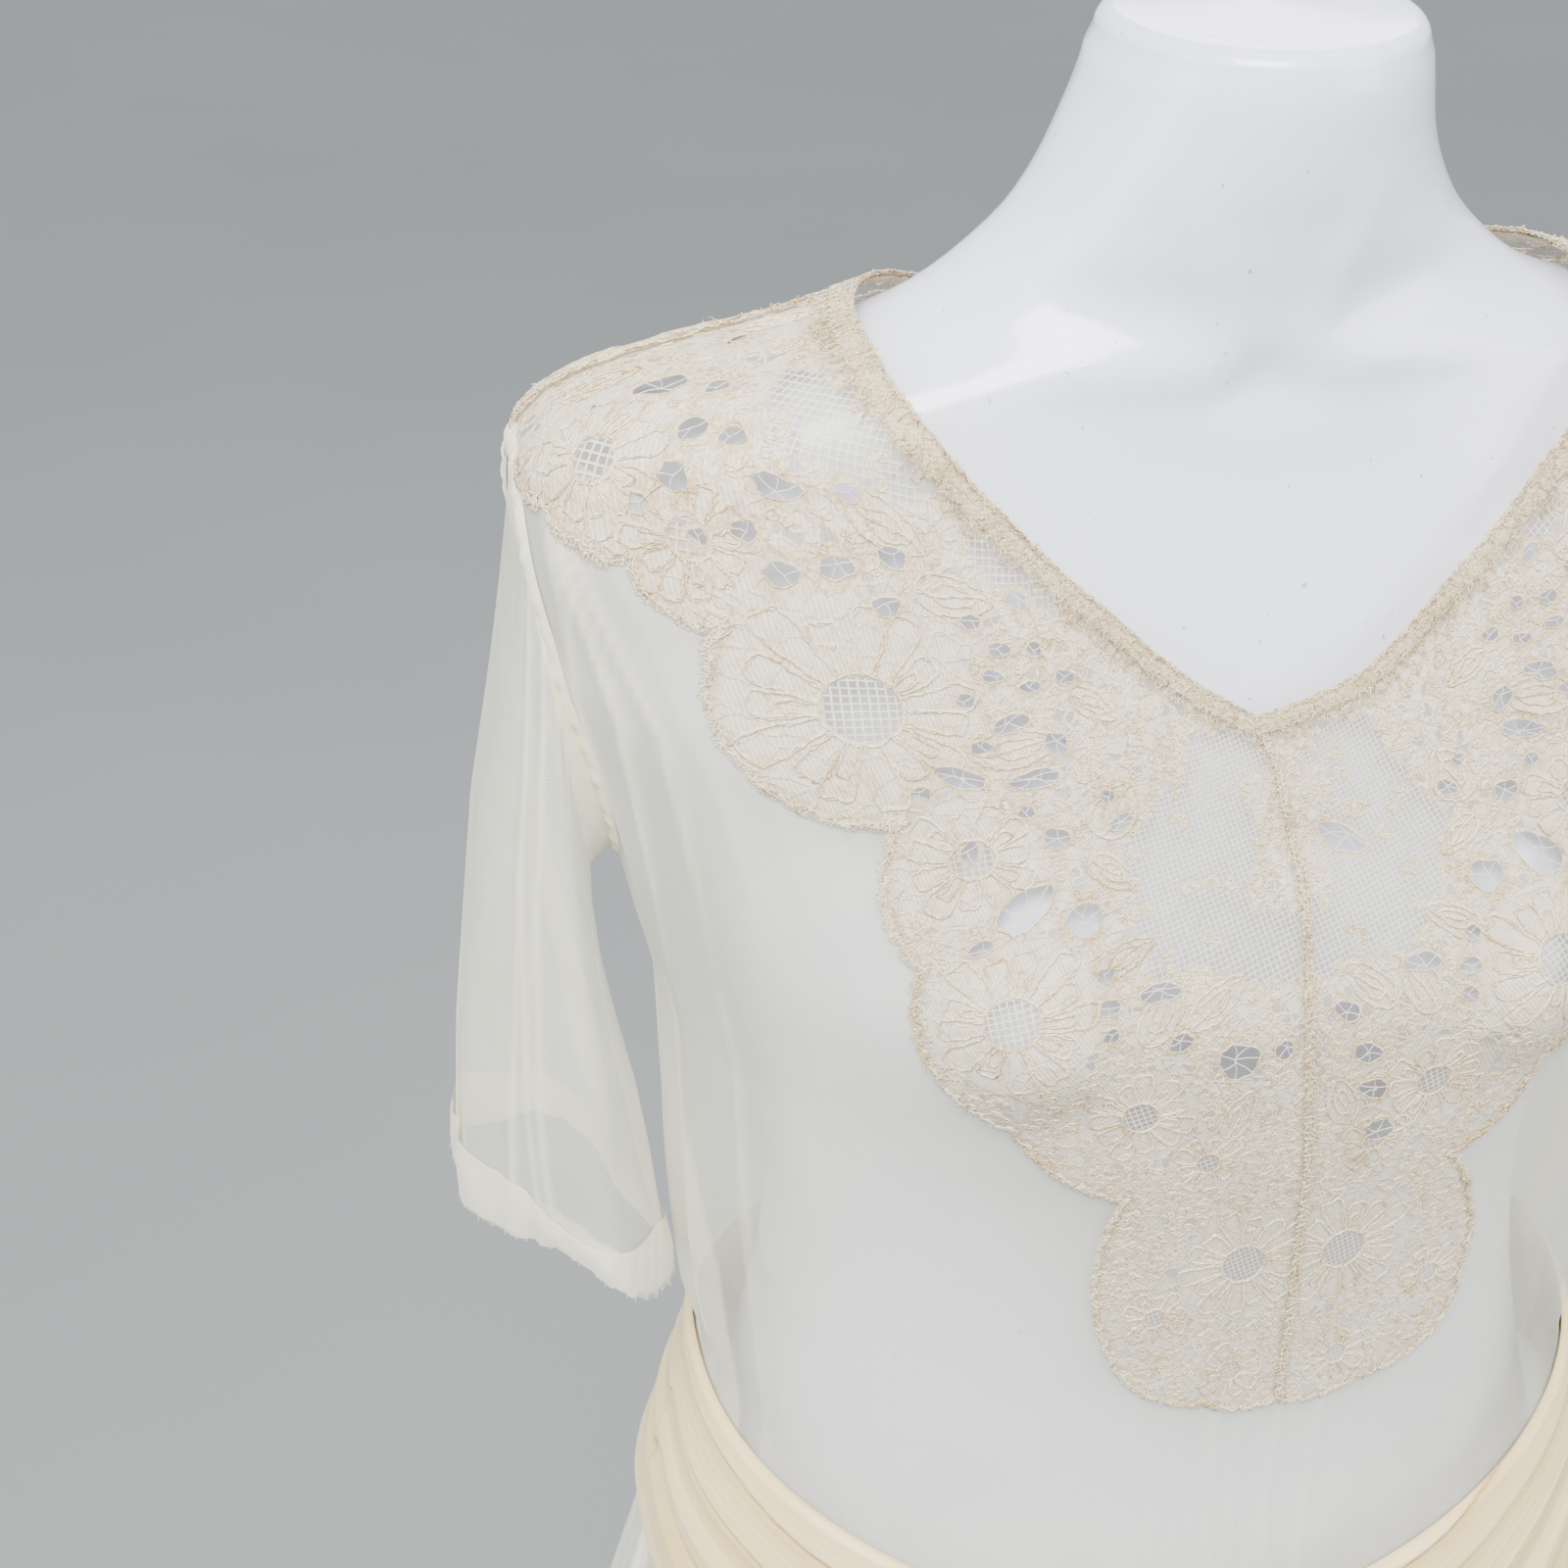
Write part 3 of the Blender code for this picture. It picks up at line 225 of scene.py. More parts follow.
GAPS_LEFT = (
    (-184, 1359, 9.0, 6.0, 50),
    (-175, 1365, 4.4, 4.0, 30),
    (-193, 1373, 3.6, 4.6, 60),
    (-168, 1357, 5.2, 5.0, 37),
    (-161, 1360, 5.0, 3.4, 26),
    (-165, 1349, 5.0, 5.0, 36),
    (-168, 1342, 3.6, 3.6, 34),
    (-158, 1342, 3.4, 3.2, 33),
    (-150, 1357, 8.6, 4.4, 18),
    (-139, 1363, 5.2, 3.6, 22),
    (-152, 1347, 4.4, 4.0, 32),
    (-144, 1343, 6.4, 4.8, 30),
    (-136, 1349, 7.0, 4.6, 35),
    (-127, 1356, 6.0, 4.4, 7),
    (-125, 1346, 6.0, 4.2, 35),
    (-97, 1359, 6.0, 4.4, -13),
    (-107, 1350, 5.0, 3.8, 20),
    (-99, 1346, 6.0, 3.6, 18),
    (-90, 1349, 4.4, 4.0, 16),
    (-99, 1339, 6.0, 3.4, 16),
    (-89, 1339, 6.2, 3.4, 24),
    (-80, 1344, 6.0, 4.0, 13),
    (-104, 1331, 4.6, 3.8, 16),
    (-92, 1328, 10.5, 4.8, 34),
    (-98, 1320, 6.0, 3.6, 24),
    (-79, 1325, 8.0, 6.0, -41),
    (-101, 1311, 12.0, 5.2, -6),
    (-83, 1314, 14.0, 5.6, 22),
    (-109, 1305, 4.4, 4.0, 11),
    (-84, 1304, 4.4, 4.2, 7),
    (-75, 1297, 7.6, 6.4, 4),
    (-62, 1311, 4.4, 4.2, 4),
    (-57, 1303, 7.6, 4.8, 34),
    (-96, 1291, 4.2, 6.8, 7),
    (-80, 1276, 17.0, 10.0, 50),
    (-64, 1273, 10.0, 10.0, -2),
    (-89, 1265, 6.4, 4.2, 38),
    (-55, 1248, 6.0, 4.8, -9),
    (-41, 1251, 12.0, 5.6, 5),
    (-57, 1257, 4.8, 4.4, -7),
    (-54, 1240, 4.4, 4.8, -13),
    (-16, 1228, 12.0, 13.0, 43),
    (-2, 1230, 6.0, 7.0, -8),
    (-34, 1236, 7.0, 6.0, 30),
)
GAPS_RIGHT_OF_SEAM = (
    (19, 1293, 19.0, 8.6, -32),
    (17, 1240, 8.6, 6.0, -35),
    (25, 1225, 10.4, 6.6, -29),
    (29, 1211, 10.4, 7.0, -30),
    (34, 1194, 10.0, 8.0, -12),
)
MIRRORED_BEYOND = 40.0
GAP_BACK_ROWS = (
    # rise at the armhole end, rise at the centre back, how many to a side, length, width
    (1352, 1290, 5, 8.0, 5.0),
    (1378, 1322, 6, 6.0, 5.0),
)
SLEEVE_RINGS = (
    (199.5, 1362, 183, 1243, 39),
    (203.0, 1336, 184, 1231, 42),
    (208.5, 1300, 183, 1213, 45),
    (215.5, 1262, 180, 1192, 47),
    (220.5, 1220, 176, 1168, 48),
    (225.5, 1178, 174, 1145, 48),
    (227.5, 1146, 173, 1124, 48),
    (228.5, 1119, 172, 1103, 48),
)

# Finer creases of the bodice: around, lean per 100 mm, lowest, highest, half width, depth
CREASES = (
    (-188, 6, 1000, 1230, 2.2, 1.1),
    (-170, 9, 1000, 1200, 2.4, 0.9),
    (-160, 14, 990, 1160, 2.0, 0.8),
    (-138, 12, 1120, 1310, 3.0, 0.8),
    (-128, 10, 985, 1110, 2.4, 0.7),
    (-90, -4, 975, 1075, 2.6, 0.6),
    (-30, 5, 960, 1076, 2.0, 0.9),
    (-14, 3, 958, 1078, 1.8, 1.0),
    (6, -3, 958, 1074, 1.9, 1.0),
    (24, -6, 958, 1078, 2.2, 0.8),
    (78, 4, 970, 1085, 2.4, 0.7),
    (132, -10, 985, 1140, 2.4, 0.8),
    (166, -12, 1000, 1200, 2.4, 0.9),
    (189, -6, 1000, 1230, 2.2, 1.0),
    (226, 6, 1000, 1210, 2.6, 1.0),
    (268, 5, 1000, 1180, 2.6, 0.9),
    (318, -4, 1000, 1170, 2.6, 0.8),
    (372, 3, 1005, 1150, 2.4, 0.8),
    (447, -4, 1005, 1160, 2.4, 0.8),
    (508, 4, 1000, 1170, 2.6, 0.9),
    (566, -6, 1000, 1200, 2.6, 1.0),
)

# Folds that fan from below the lace near the shoulder: line (around, rise), half width, depth, how doubled
SHOULDER_FOLDS = (
    (((-183, 1333), (-177, 1318), (-176, 1300), (-181, 1262), (-187, 1212)), 2.6, 1.9, 0.55),
    (((-180, 1331), (-172, 1317), (-165, 1301), (-167, 1280), (-170, 1252), (-177, 1190)), 2.6, 2.3, 0.8),
    (((-178, 1332), (-168, 1319), (-157, 1302), (-155, 1283), (-153, 1264), (-152, 1200)), 2.5, 1.7, 0.55),
    (((-172, 1334), (-160, 1322), (-147, 1298), (-140, 1270), (-137, 1225)), 4.5, 2.4, 0.15),
    (((-163, 1335), (-150, 1318), (-133, 1290), (-122, 1255)), 6.0, 1.8, 0.1),
    (((-183, 1215), (-182, 1136), (-181, 1069), (-180, 985)), 3.0, 0.9, 0.8),
    (((-153, 1230), (-155, 1157), (-157, 1064), (-160, 985)), 2.4, 1.0, 0.4),
    (((-7, 1080), (-5, 1053), (-4, 1016), (-3, 950)), 2.4, 1.2, 0.15),
    (((20, 1078), (19, 1049), (18, 1013), (17, 950)), 2.0, 1.0, 0.1),
    (((37, 1085), (36, 1045), (32, 1010), (28, 950)), 2.2, 1.3, 0.15),
)

# Folds of the sleeve: angle from its outer side (front is below 0), half width, depth at the shoulder, depth at the hem
SLEEVE_FOLDS = (
    (-162, 12, 1.0, 2.0),
    (-128, 14, 0.8, 2.0),
    (-94, 20, 0.6, 2.6),
    (-60, 5, 2.4, 1.4),
    (-46, 4, 1.8, 2.4),
    (-37, 4, 1.0, 2.2),
    (-10, 10, 1.6, 2.4),
    (36, 6, 2.0, 1.2),
    (74, 14, 0.8, 2.6),
    (112, 5, 2.2, 1.2),
    (150, 12, 0.8, 2.2),
)
NARROW_FOLD = 6

# Round flowers of the lace: around, rise, radius, petals, turn in degrees
FLOWERS = (
    (-178, 1344, 12.5, 11, 10),
    (-159, 1341, 11.5, 12, 0),
    (-124, 1322, 25.0, 15, 6),
    (-95, 1289, 17.0, 11, 16),
    (-78, 1246, 21.5, 13, 4),
    (-44, 1210, 17.0, 11, 20),
    (-22, 1190, 12.0, 9, 0),
    (-4, 1144, 24.0, 14, 8),
    (-34, 1124, 12.5, 10, 12),
    (-3, 1097, 13.0, 10, 0),
)

# Leaves of the lace: around, rise, half length, half width, turn in degrees
LEAVES = (
    (-89, 1322, 10.5, 5.0, 24),
    (-59, 1307, 9.5, 6.5, 68),
    (-40, 1245, 10.0, 5.0, 62),
    (-70, 1338, 8.0, 3.6, -20),
    (-112, 1354, 9.0, 4.2, 12),
    (-58, 1287, 8.0, 4.0, -35),
    (-52, 1262, 9.0, 4.0, 30),
    (-14, 1208, 9.0, 4.5, 70),
    (-24, 1247, 10.0, 4.4, 40),
    (-130, 1361, 9.0, 4.0, -8),
    (-170, 1386, 9.0, 4.4, 20),
    (-196, 1352, 6.0, 3.4, 80),
    (-197, 1381, 6.5, 3.6, 60),
)

# Plain net between the motifs: around, rise, half width, half height
NET_PATCHES = (
    (-32, 1287, 21, 34),
    (-146, 1374, 21, 10),
    (-22, 1325, 15, 9),
    (-95, 1366, 18, 6),
    (-6, 1262, 16, 12),
)

FLOWERS_BACK = (
    (226, 1342, 12.0, 11, 0),
    (254, 1337, 15.0, 12, 8),
    (286, 1322, 18.0, 13, 0),
    (322, 1304, 20.0, 13, 14),
    (362, 1288, 20.0, 14, 0),
    (414, 1276, 24.0, 16, 0),
)
LEAVES_BACK = (
    (240, 1366, 9.0, 4.0, 20),
    (276, 1360, 9.0, 4.0, -20),
    (312, 1350, 10.0, 4.5, 24),
    (350, 1336, 10.0, 4.5, -24),
    (386, 1322, 10.0, 4.5, 30),
    (262, 1386, 8.0, 4.0, -10),
    (300, 1380, 8.0, 4.0, 30),
    (340, 1374, 8.0, 4.0, -30),
    (380, 1362, 9.0, 4.0, 20),
)
NET_BACK = ((414, 1376, 60, 26), (300, 1402, 40, 8), (240, 1396, 20, 6))

# Soft forms of the dress form's front: from x, from z, to x, to z, half width, how far out
FORM_RIDGES = (
    (-108, 1405, -54, 1411, 6.5, 2.4),
    (-54, 1411, -14, 1409, 6.0, 3.0),
    (14, 1409, 54, 1411, 6.0, 3.0),
    (54, 1411, 108, 1405, 6.5, 2.4),
    (-9, 1411, -24, 1455, 6.0, 1.6),
    (9, 1411, 26, 1455, 6.0, 1.6),
)
FORM_HOLLOWS = (
    (0, 1404, 9.0, 11.0, 5.0),
    (-44, 1428, 26.0, 10.0, 2.6),
    (44, 1428, 26.0, 10.0, 2.6),
    (-60, 1392, 34.0, 9.0, 1.2),
    (60, 1392, 34.0, 9.0, 1.2),
)


class Rings:
    """A body given by rings at rising heights, read smoothly between them."""

    def __init__(self, rows):
        table = np.array(rows, float)
        self.heights = table[:, 0]
        self.sizes = table[:, 1:]
        steps = np.diff(self.sizes, axis=0) / np.diff(self.heights)[:, None]
        before, after = steps[:-1], steps[1:]
        both = np.where(before + after == 0, 1.0, before + after)
        self.slopes = np.zeros_like(self.sizes)
        self.slopes[1:-1] = np.where(before * after > 0, 2 * before * after / both, 0.0)
        self.slopes[0] = steps[0]
        self.slopes[-1] = steps[-1]

    def at(self, height):
        height = np.clip(height, self.heights[0], self.heights[-1])
        low = np.clip(np.searchsorted(self.heights, height) - 1, 0, len(self.heights) - 2)
        span = (self.heights[low + 1] - self.heights[low])[..., None]
        part = (height - self.heights[low])[..., None] / span
        start = (2 * part**3 - 3 * part**2 + 1) * self.sizes[low]
        end = (3 * part**2 - 2 * part**3) * self.sizes[low + 1]
        bend_in = (part**3 - 2 * part**2 + part) * span * self.slopes[low]
        bend_out = (part**3 - part**2) * span * self.slopes[low + 1]
        return start + end + bend_in + bend_out

    def measure(self, points, bust):
        half_width, front, back, square, centre_x, centre_y = np.moveaxis(self.at(points[..., 2]), -1, 0)
        across = np.abs(points[..., 0] - centre_x) / half_width
        deep = points[..., 1] - centre_y
        ahead = np.maximum(-deep - bust * swell(points[..., 0], points[..., 2]), 0) / front
        deep = np.where(deep < 0, ahead, deep / back)
        return (across**square + deep**square) ** (1 / square)

    def reach(self, start, way, bust):
        near = np.ones(start.shape[:-1])
        far = np.full(start.shape[:-1], 420.0)
        for _ in range(20):
            middle = (near + far) / 2
            outside = self.measure(start + way * middle[..., None], bust) > 1
            far = np.where(outside, middle, far)
            near = np.where(outside, near, middle)
        return (near + far) / 2


def swell(across, height):
    tall = ((height - BUST["height"]) / BUST["tall"]) ** 2
    sides = [np.exp(-(((across - side * BUST["across"]) / BUST["wide"]) ** 2) - tall) for side in (-1, 1)]
    return BUST["out"] * (sides[0] + sides[1])


def step_between(value, low, high):
    part = np.clip((value - low) / (high - low), 0, 1)
    return part * part * (3 - 2 * part)


def lines_out(around, rise):
    turn = np.radians(around / PER_DEGREE)
    tilt = np.maximum(rise - PIVOT, 0) / TILT_REACH
    start = np.stack([0 * turn, 0 * turn + MID_Y, np.minimum(rise, PIVOT)], -1)
    way = np.stack([np.sin(turn) * np.cos(tilt), -np.cos(turn) * np.cos(tilt), np.sin(tilt)], -1)
    return start, way


FIGURE = Rings(FIGURE_RINGS)


class Drape:
    """How far the dress stands out at every place of the pattern, worked out once on a close net."""

    AROUND_STEP = 2.0
    RISE_STEP = 2.5

    def __init__(self):
        dress = Rings(DRESS_RINGS)
        self.low = HEM - 8
        around = np.arange(-SIDE - 10, 2 * BACK - SIDE + 12, self.AROUND_STEP)
        rise = np.arange(self.low, 1452, self.RISE_STEP)
        self.first = around[0]
        around, rise = np.meshgrid(around, rise)
        start, way = lines_out(around, rise)
        shoulder = step_between(rise, SHOULDER_FROM, SHOULDER_TO)
        gap = CLEAR_OF_BODY + (CLEAR_AT_SHOULDER - CLEAR_OF_BODY) * shoulder
        loose = dress.reach(start, way, 0.0)
        close = FIGURE.reach(start, way, 1.0) + gap
        self.far = close + EASE * np.logaddexp(0, (loose - close) / EASE)

    def at(self, around, rise):
        across = np.clip((around - self.first) / self.AROUND_STEP, 0, self.far.shape[1] - 1.001)
        up = np.clip((rise - self.low) / self.RISE_STEP, 0, self.far.shape[0] - 1.001)
        column, row = across.astype(int), up.astype(int)
        x, y = across - column, up - row
        lower = self.far[row, column] * (1 - x) + self.far[row, column + 1] * x
        upper = self.far[row + 1, column] * (1 - x) + self.far[row + 1, column + 1] * x
        return lower * (1 - y) + upper * y


DRAPE = Drape()


def cloth(around, rise, out, folds):
    """Points of the dress at places of the pattern, moved outward by a distance."""
    around, rise, out = np.broadcast_arrays(np.asarray(around, float), np.asarray(rise, float),
                                            np.asarray(out, float))

    def surface(x, y):
        start, way = lines_out(x, y)
        return start + way * (DRAPE.at(x, y) + folds(x, y))[..., None]

    step = 1.5
    right = surface(around + step, rise) - surface(around - step, rise)
    up = surface(around, rise + step) - surface(around, rise - step)
    normal = np.cross(right, up)
    normal /= np.linalg.norm(normal, axis=-1, keepdims=True)
    return surface(around, rise) + normal * out[..., None]


def sash_top(around):
    ahead = np.maximum(np.cos(np.radians(around / PER_DEGREE)), 0)
    return SASH_TOP - SASH_FRONT_DIP * ahead**1.5


def waist_seam(around):
    return sash_top(around) - SASH_WIDE / 2


def wrapped(around):
    return (around + SIDE) % (2 * BACK) - SIDE


def beside(places, line):
    """How far each place is from a line of points, and how far along the line that is."""
    near = np.full(len(places), 1e9)
    part = np.zeros(len(places))
    count = len(line) - 1
    for number, (start, end) in enumerate(zip(np.array(line[:-1], float), np.array(line[1:], float))):
        run = end - start
        share = np.clip(((places - start) @ run) / (run @ run), 0, 1)
        far = np.hypot(*(places - start - share[:, None] * run).T)
        part = np.where(far < near, (number + share) / count, part)
        near = np.minimum(near, far)
    return near, part


def folds_of_bodice(around, rise):
    """The large folds, and finer uneven creases that run up from the waist and down from the shoulder."""
    around = wrapped(around)
    free = step_between(rise, sash_top(around) + 1, sash_top(around) + 40)
    out = 0 * rise
    for place, low, high, half_wide, depth in BODICE_FOLDS:
        ridge = np.exp(-(((around - place) / half_wide) ** 2))
        fade = 1 - step_between(rise, low + 0.35 * (high - low), high)
        out = out + depth * ridge * fade * free
    for place, lean, low, high, half_wide, depth in CREASES:
        line = place + lean * (rise - low) / 100
        ridge = np.exp(-(((around - line) / half_wide) ** 2))
        ends = step_between(rise, low, low + 25) * (1 - step_between(rise, high - 60, high))
        out = out + depth * ridge * ends * free
    places = np.column_stack([np.where(np.abs(around) > SIDE, 1e4, np.ravel(around)), np.ravel(rise)])
    for line, half_wide, depth, _ in SHOULDER_FOLDS:
        for side in (1, -1):
            near, part = beside(places * (side, 1), line)
            ends = step_between(part, 0, 0.15) * (1 - step_between(part, 0.55, 1.0))
            shape = np.exp(-((near / half_wide) ** 2)) - 0.35 * np.exp(-((near / (2.6 * half_wide)) ** 2))
            out = out + depth * shape * ends
    return out


def fold_depth_of_skirt(height):
    below = np.maximum(SASH_TOP - 45 - height, 0) / (SASH_TOP - 45 - HEM)
    return SKIRT_FOLD * below**1.25


def folds_of_skirt(around, rise):
    turn = np.radians(around / PER_DEGREE)
    uneven = turn + 0.09 * np.sin(3 * turn + 1.0) + 0.05 * np.sin(5 * turn)
    crinkle = np.sin(turn * 97 + 1.3 * np.sin(turn * 11)) + 0.7 * np.sin(turn * 61 + 2 * np.sin(turn * 7) + rise / 90)
    fine = 0.55 * crinkle * step_between(-rise, -waist_seam(around) + 6, -waist_seam(around) + 60)
    return fold_depth_of_skirt(rise) * np.cos(SKIRT_FOLDS * uneven) + fine


def no_folds(around, rise):
    return 0 * rise


def srgb(red, green, blue):
    """A colour read off the photograph, as the linear colour that a shader takes."""
    parts = [value / 255 for value in (red, green, blue)]
    return tuple(p / 12.92 if p <= 0.04045 else ((p + 0.055) / 1.055) ** 2.4 for p in parts) + (1.0,)


class Number:
    """A number that varies over a surface, written with plain arithmetic."""

    def __init__(self, finish, socket):
        self.finish = finish
        self.socket = socket

    def sum(self, operation, *inputs):
        node = self.finish.add("ShaderNodeMath", operation=operation)
        for number, value in enumerate(inputs):
            self.finish.feed(node.inputs[number], value)
        return Number(self.finish, node.outputs[0])

    def __add__(self, other):
        return self.sum("ADD", self, other)

    def __radd__(self, other):
        return self.sum("ADD", other, self)

    def __sub__(self, other):
        return self.sum("SUBTRACT", self, other)

    def __rsub__(self, other):
        return self.sum("SUBTRACT", other, self)

    def __mul__(self, other):
        return self.sum("MULTIPLY", self, other)

    def __rmul__(self, other):
        return self.sum("MULTIPLY", other, self)

    def __truediv__(self, other):
        return self.sum("DIVIDE", self, other)

    def __pow__(self, other):
        return self.sum("POWER", self, other)

    def least(self, other):
        return self.sum("MINIMUM", self, other)

    def most(self, other):
        return self.sum("MAXIMUM", self, other)

    def wave(self):
        """0 to 1 and back for each whole step of the number."""
        return self.sum("SINE", self * (2 * math.pi)) * 0.5 + 0.5

    def between(self, low, high):
        """0 below the low value, 1 above the high one and smooth between them."""
        node = self.finish.add("ShaderNodeMapRange", interpolation_type="SMOOTHSTEP")
        for name, value in (("Value", self), ("From Min", low), ("From Max", high)):
            self.finish.feed(node.inputs[name], value)
        return Number(self.finish, node.outputs[0])


class Finish:
    """A node material that is built from pattern places, painted values and noise."""

    def __init__(self, name, **constants):
        self.material = bpy.data.materials.new(name)
        self.material.use_nodes = True
        self.tree = self.material.node_tree
        self.shader = self.tree.nodes["Principled BSDF"]
        for socket, value in constants.items():
            self.shader.inputs[socket.replace("_", " ")].default_value = value

    def add(self, kind, **settings):
        node = self.tree.nodes.new(kind)
        for name, value in settings.items():
            setattr(node, name, value)
        return node

    def feed(self, socket, value):
        if isinstance(value, Number):
            self.tree.links.new(value.socket, socket)
        elif isinstance(value, bpy.types.NodeSocket):
            self.tree.links.new(value, socket)
        else:
            socket.default_value = value

    def pattern(self):
        """The place on the pattern, in millimetres: along, up, and both as a vector."""
        flat = self.add("ShaderNodeUVMap", uv_map="pattern").outputs["UV"]
        parts = self.add("ShaderNodeSeparateXYZ")
        self.feed(parts.inputs[0], flat)
        return Number(self, parts.outputs[0]), Number(self, parts.outputs[1]), flat

    def solid_place(self):
        """The place in the round, in metres."""
        return self.add("ShaderNodeTexCoord").outputs["Object"]

    def painted(self, name):
        return Number(self, self.add("ShaderNodeAttribute", attribute_name=name).outputs["Fac"])

    def noise(self, place, scale, detail=2.0, stretch=None):
        node = self.add("ShaderNodeTexNoise")
        if stretch:
            mapping = self.add("ShaderNodeMapping")
            self.feed(mapping.inputs["Vector"], place)
            mapping.inputs["Scale"].default_value = stretch
            place = mapping.outputs[0]
        self.feed(node.inputs["Vector"], place)
        node.inputs["Scale"].default_value = scale
        node.inputs["Detail"].default_value = detail
        return Number(self, node.outputs["Fac"])

    def warped(self, place, scale, amount):
        """The place pushed about by noise, so that a regular pattern wanders."""
        cloud = self.add("ShaderNodeTexNoise")
        self.feed(cloud.inputs["Vector"], place)
        cloud.inputs["Scale"].default_value = scale
        moved = self.add("ShaderNodeVectorMath", operation="MULTIPLY_ADD")
        self.feed(moved.inputs[0], cloud.outputs["Color"])
        moved.inputs[1].default_value = (amount, amount, 0.0)
        self.feed(moved.inputs[2], place)
        return moved.outputs[0]

    def cells(self, place, scale):
        """Uneven cells: how far each place is from its cell's edge, and a number for each cell."""
        found = []
        for feature, output in (("DISTANCE_TO_EDGE", "Distance"), ("F1", "Color")):
            node = self.add("ShaderNodeTexVoronoi", feature=feature)
            self.feed(node.inputs["Vector"], place)
            node.inputs["Scale"].default_value = scale
            found.append(Number(self, node.outputs[output]))
        return found

    def blend(self, share, first, second):
        """A colour between two others."""
        node = self.add("ShaderNodeMix", data_type="RGBA")
        self.feed(node.inputs[0], share)
        self.feed(node.inputs[6], first)
        self.feed(node.inputs[7], second)
        return node.outputs[2]

    def set(self, name, value):
        self.feed(self.shader.inputs[name], value)

    def relief(self, height, distance, strength=1.0):
        node = self.add("ShaderNodeBump")
        self.feed(node.inputs["Height"], height)
        node.inputs["Distance"].default_value = distance * MILLIMETRE
        node.inputs["Strength"].default_value = strength
        self.feed(self.shader.inputs["Normal"], node.outputs[0])


def show(obj, finish, nodes=()):
    """Puts a finished piece on the dress: gives it its material, hangs it on the body it rides on and hides the model's
    parts that it stands for.
    """
    obj.data.materials.clear()
    obj.data.materials.append(finish.material)
    for polygon in obj.data.polygons:
        polygon.use_smooth = True
    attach(obj, "root")
    if nodes:
        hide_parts(*nodes)
    return obj


def grid_sheet(name, columns, rows, place, painted=None, joined=False):
    """A grid bent into shape. place turns shares across and up into points and pattern places."""
    built = bmesh.new()
    bmesh.ops.create_grid(built, x_segments=columns, y_segments=rows, size=0.5)
    flat = np.array([vert.co[:2] for vert in built.verts]) + 0.5
    points, pattern = place(flat[:, 0], flat[:, 1])
    values = painted(flat[:, 0], flat[:, 1]) if painted else {}
    return mesh_piece(name, built, points, pattern, values, joined)


def mesh_piece(name, built, points, pattern, values, joined=False):
    """An object from a bent mesh, with its places on the pattern and its painted values."""
    mesh = bpy.data.meshes.new(name)
    built.to_mesh(mesh)
    built.free()
    mesh.vertices.foreach_set("co", (np.asarray(points) * MILLIMETRE).astype(np.float32).ravel())
    corners = np.zeros(len(mesh.loops), np.int32)
    mesh.loops.foreach_get("vertex_index", corners)
    layer = mesh.uv_layers.new(name="pattern")
    layer.data.foreach_set("uv", np.asarray(pattern)[corners].astype(np.float32).ravel())
    for title, value in values.items():
        attribute = mesh.attributes.new(title, "FLOAT", "POINT")
        attribute.data.foreach_set("value", np.asarray(value, np.float32))
    mesh.update()
    if joined:
        built = bmesh.new()
        built.from_mesh(mesh)
        bmesh.ops.remove_doubles(built, verts=built.verts, dist=1e-6)
        bmesh.ops.recalc_face_normals(built, faces=built.faces)
        built.to_mesh(mesh)
        built.free()
    placed = bpy.data.objects.new(name, mesh)
    bpy.context.scene.collection.objects.link(placed)
    return placed


def threads(name, lines, out, radius, folds=no_folds, loose=0.0):
    """Threads that lie along lines of the pattern, as one mesh of thin round cords."""
    lines = [np.asarray(line, float) for line in lines if len(line) > 1]
    together = np.concatenate(lines)
    rng = np.random.default_rng(5)
    away = out + loose * rng.random(len(together))
    points = cloth(together[:, 0], together[:, 1], away, folds) * MILLIMETRE
    return cords(name, np.split(points, np.cumsum([len(line) for line in lines])[:-1]), radius)


def cord_profile(name, radius):
    """The three-sided section of a thin cord."""
    section = bpy.data.curves.new(name + "_section", "CURVE")
    spline = section.splines.new("POLY")
    spline.points.add(2)
    turns = [math.radians(angle) for angle in (90, 210, 330)]
    for point, turn in zip(spline.points, turns):
        point.co = (1.2 * radius * MILLIMETRE * math.cos(turn), 1.2 * radius * MILLIMETRE * math.sin(turn), 0, 1)
    spline.use_cyclic_u = True
    return bpy.data.objects.new(name + "_section", section)


def cords(name, runs, radius):
    """Thin cords through runs of points in metres, as one mesh."""
    curve = bpy.data.curves.new(name, "CURVE")
    curve.dimensions = "3D"
    curve.bevel_mode = "OBJECT"
    curve.bevel_object = cord_profile(name, radius)
    for run in runs:
        spline = curve.splines.new("POLY")
        spline.points.add(len(run) - 1)
        spline.points.foreach_set("co", np.column_stack([run, np.ones(len(run))]).astype(np.float32).ravel())
    drawn = bpy.data.objects.new(name, curve)
    bpy.context.scene.collection.objects.link(drawn)
    mesh = bpy.data.meshes.new_from_object(drawn.evaluated_get(bpy.context.evaluated_depsgraph_get()))
    bpy.data.objects.remove(curve.bevel_object)
    bpy.data.objects.remove(drawn)
    mesh.name = name
    placed = bpy.data.objects.new(name, mesh)
    bpy.context.scene.collection.objects.link(placed)
    return placed


def within(loop, places):
    """Which places lie inside a closed loop, by counting the sides that a line to the right crosses."""
    loop = np.asarray(loop, float)
    inside = np.zeros(len(places), bool)
    for (x0, y0), (x1, y1) in zip(loop, np.roll(loop, -1, axis=0)):
        crossing = (y0 > places[:, 1]) != (y1 > places[:, 1])
        if crossing.any():
            inside ^= crossing & (places[:, 0] < x0 + (places[:, 1] - y0) * (x1 - x0) / (y1 - y0))
    return inside


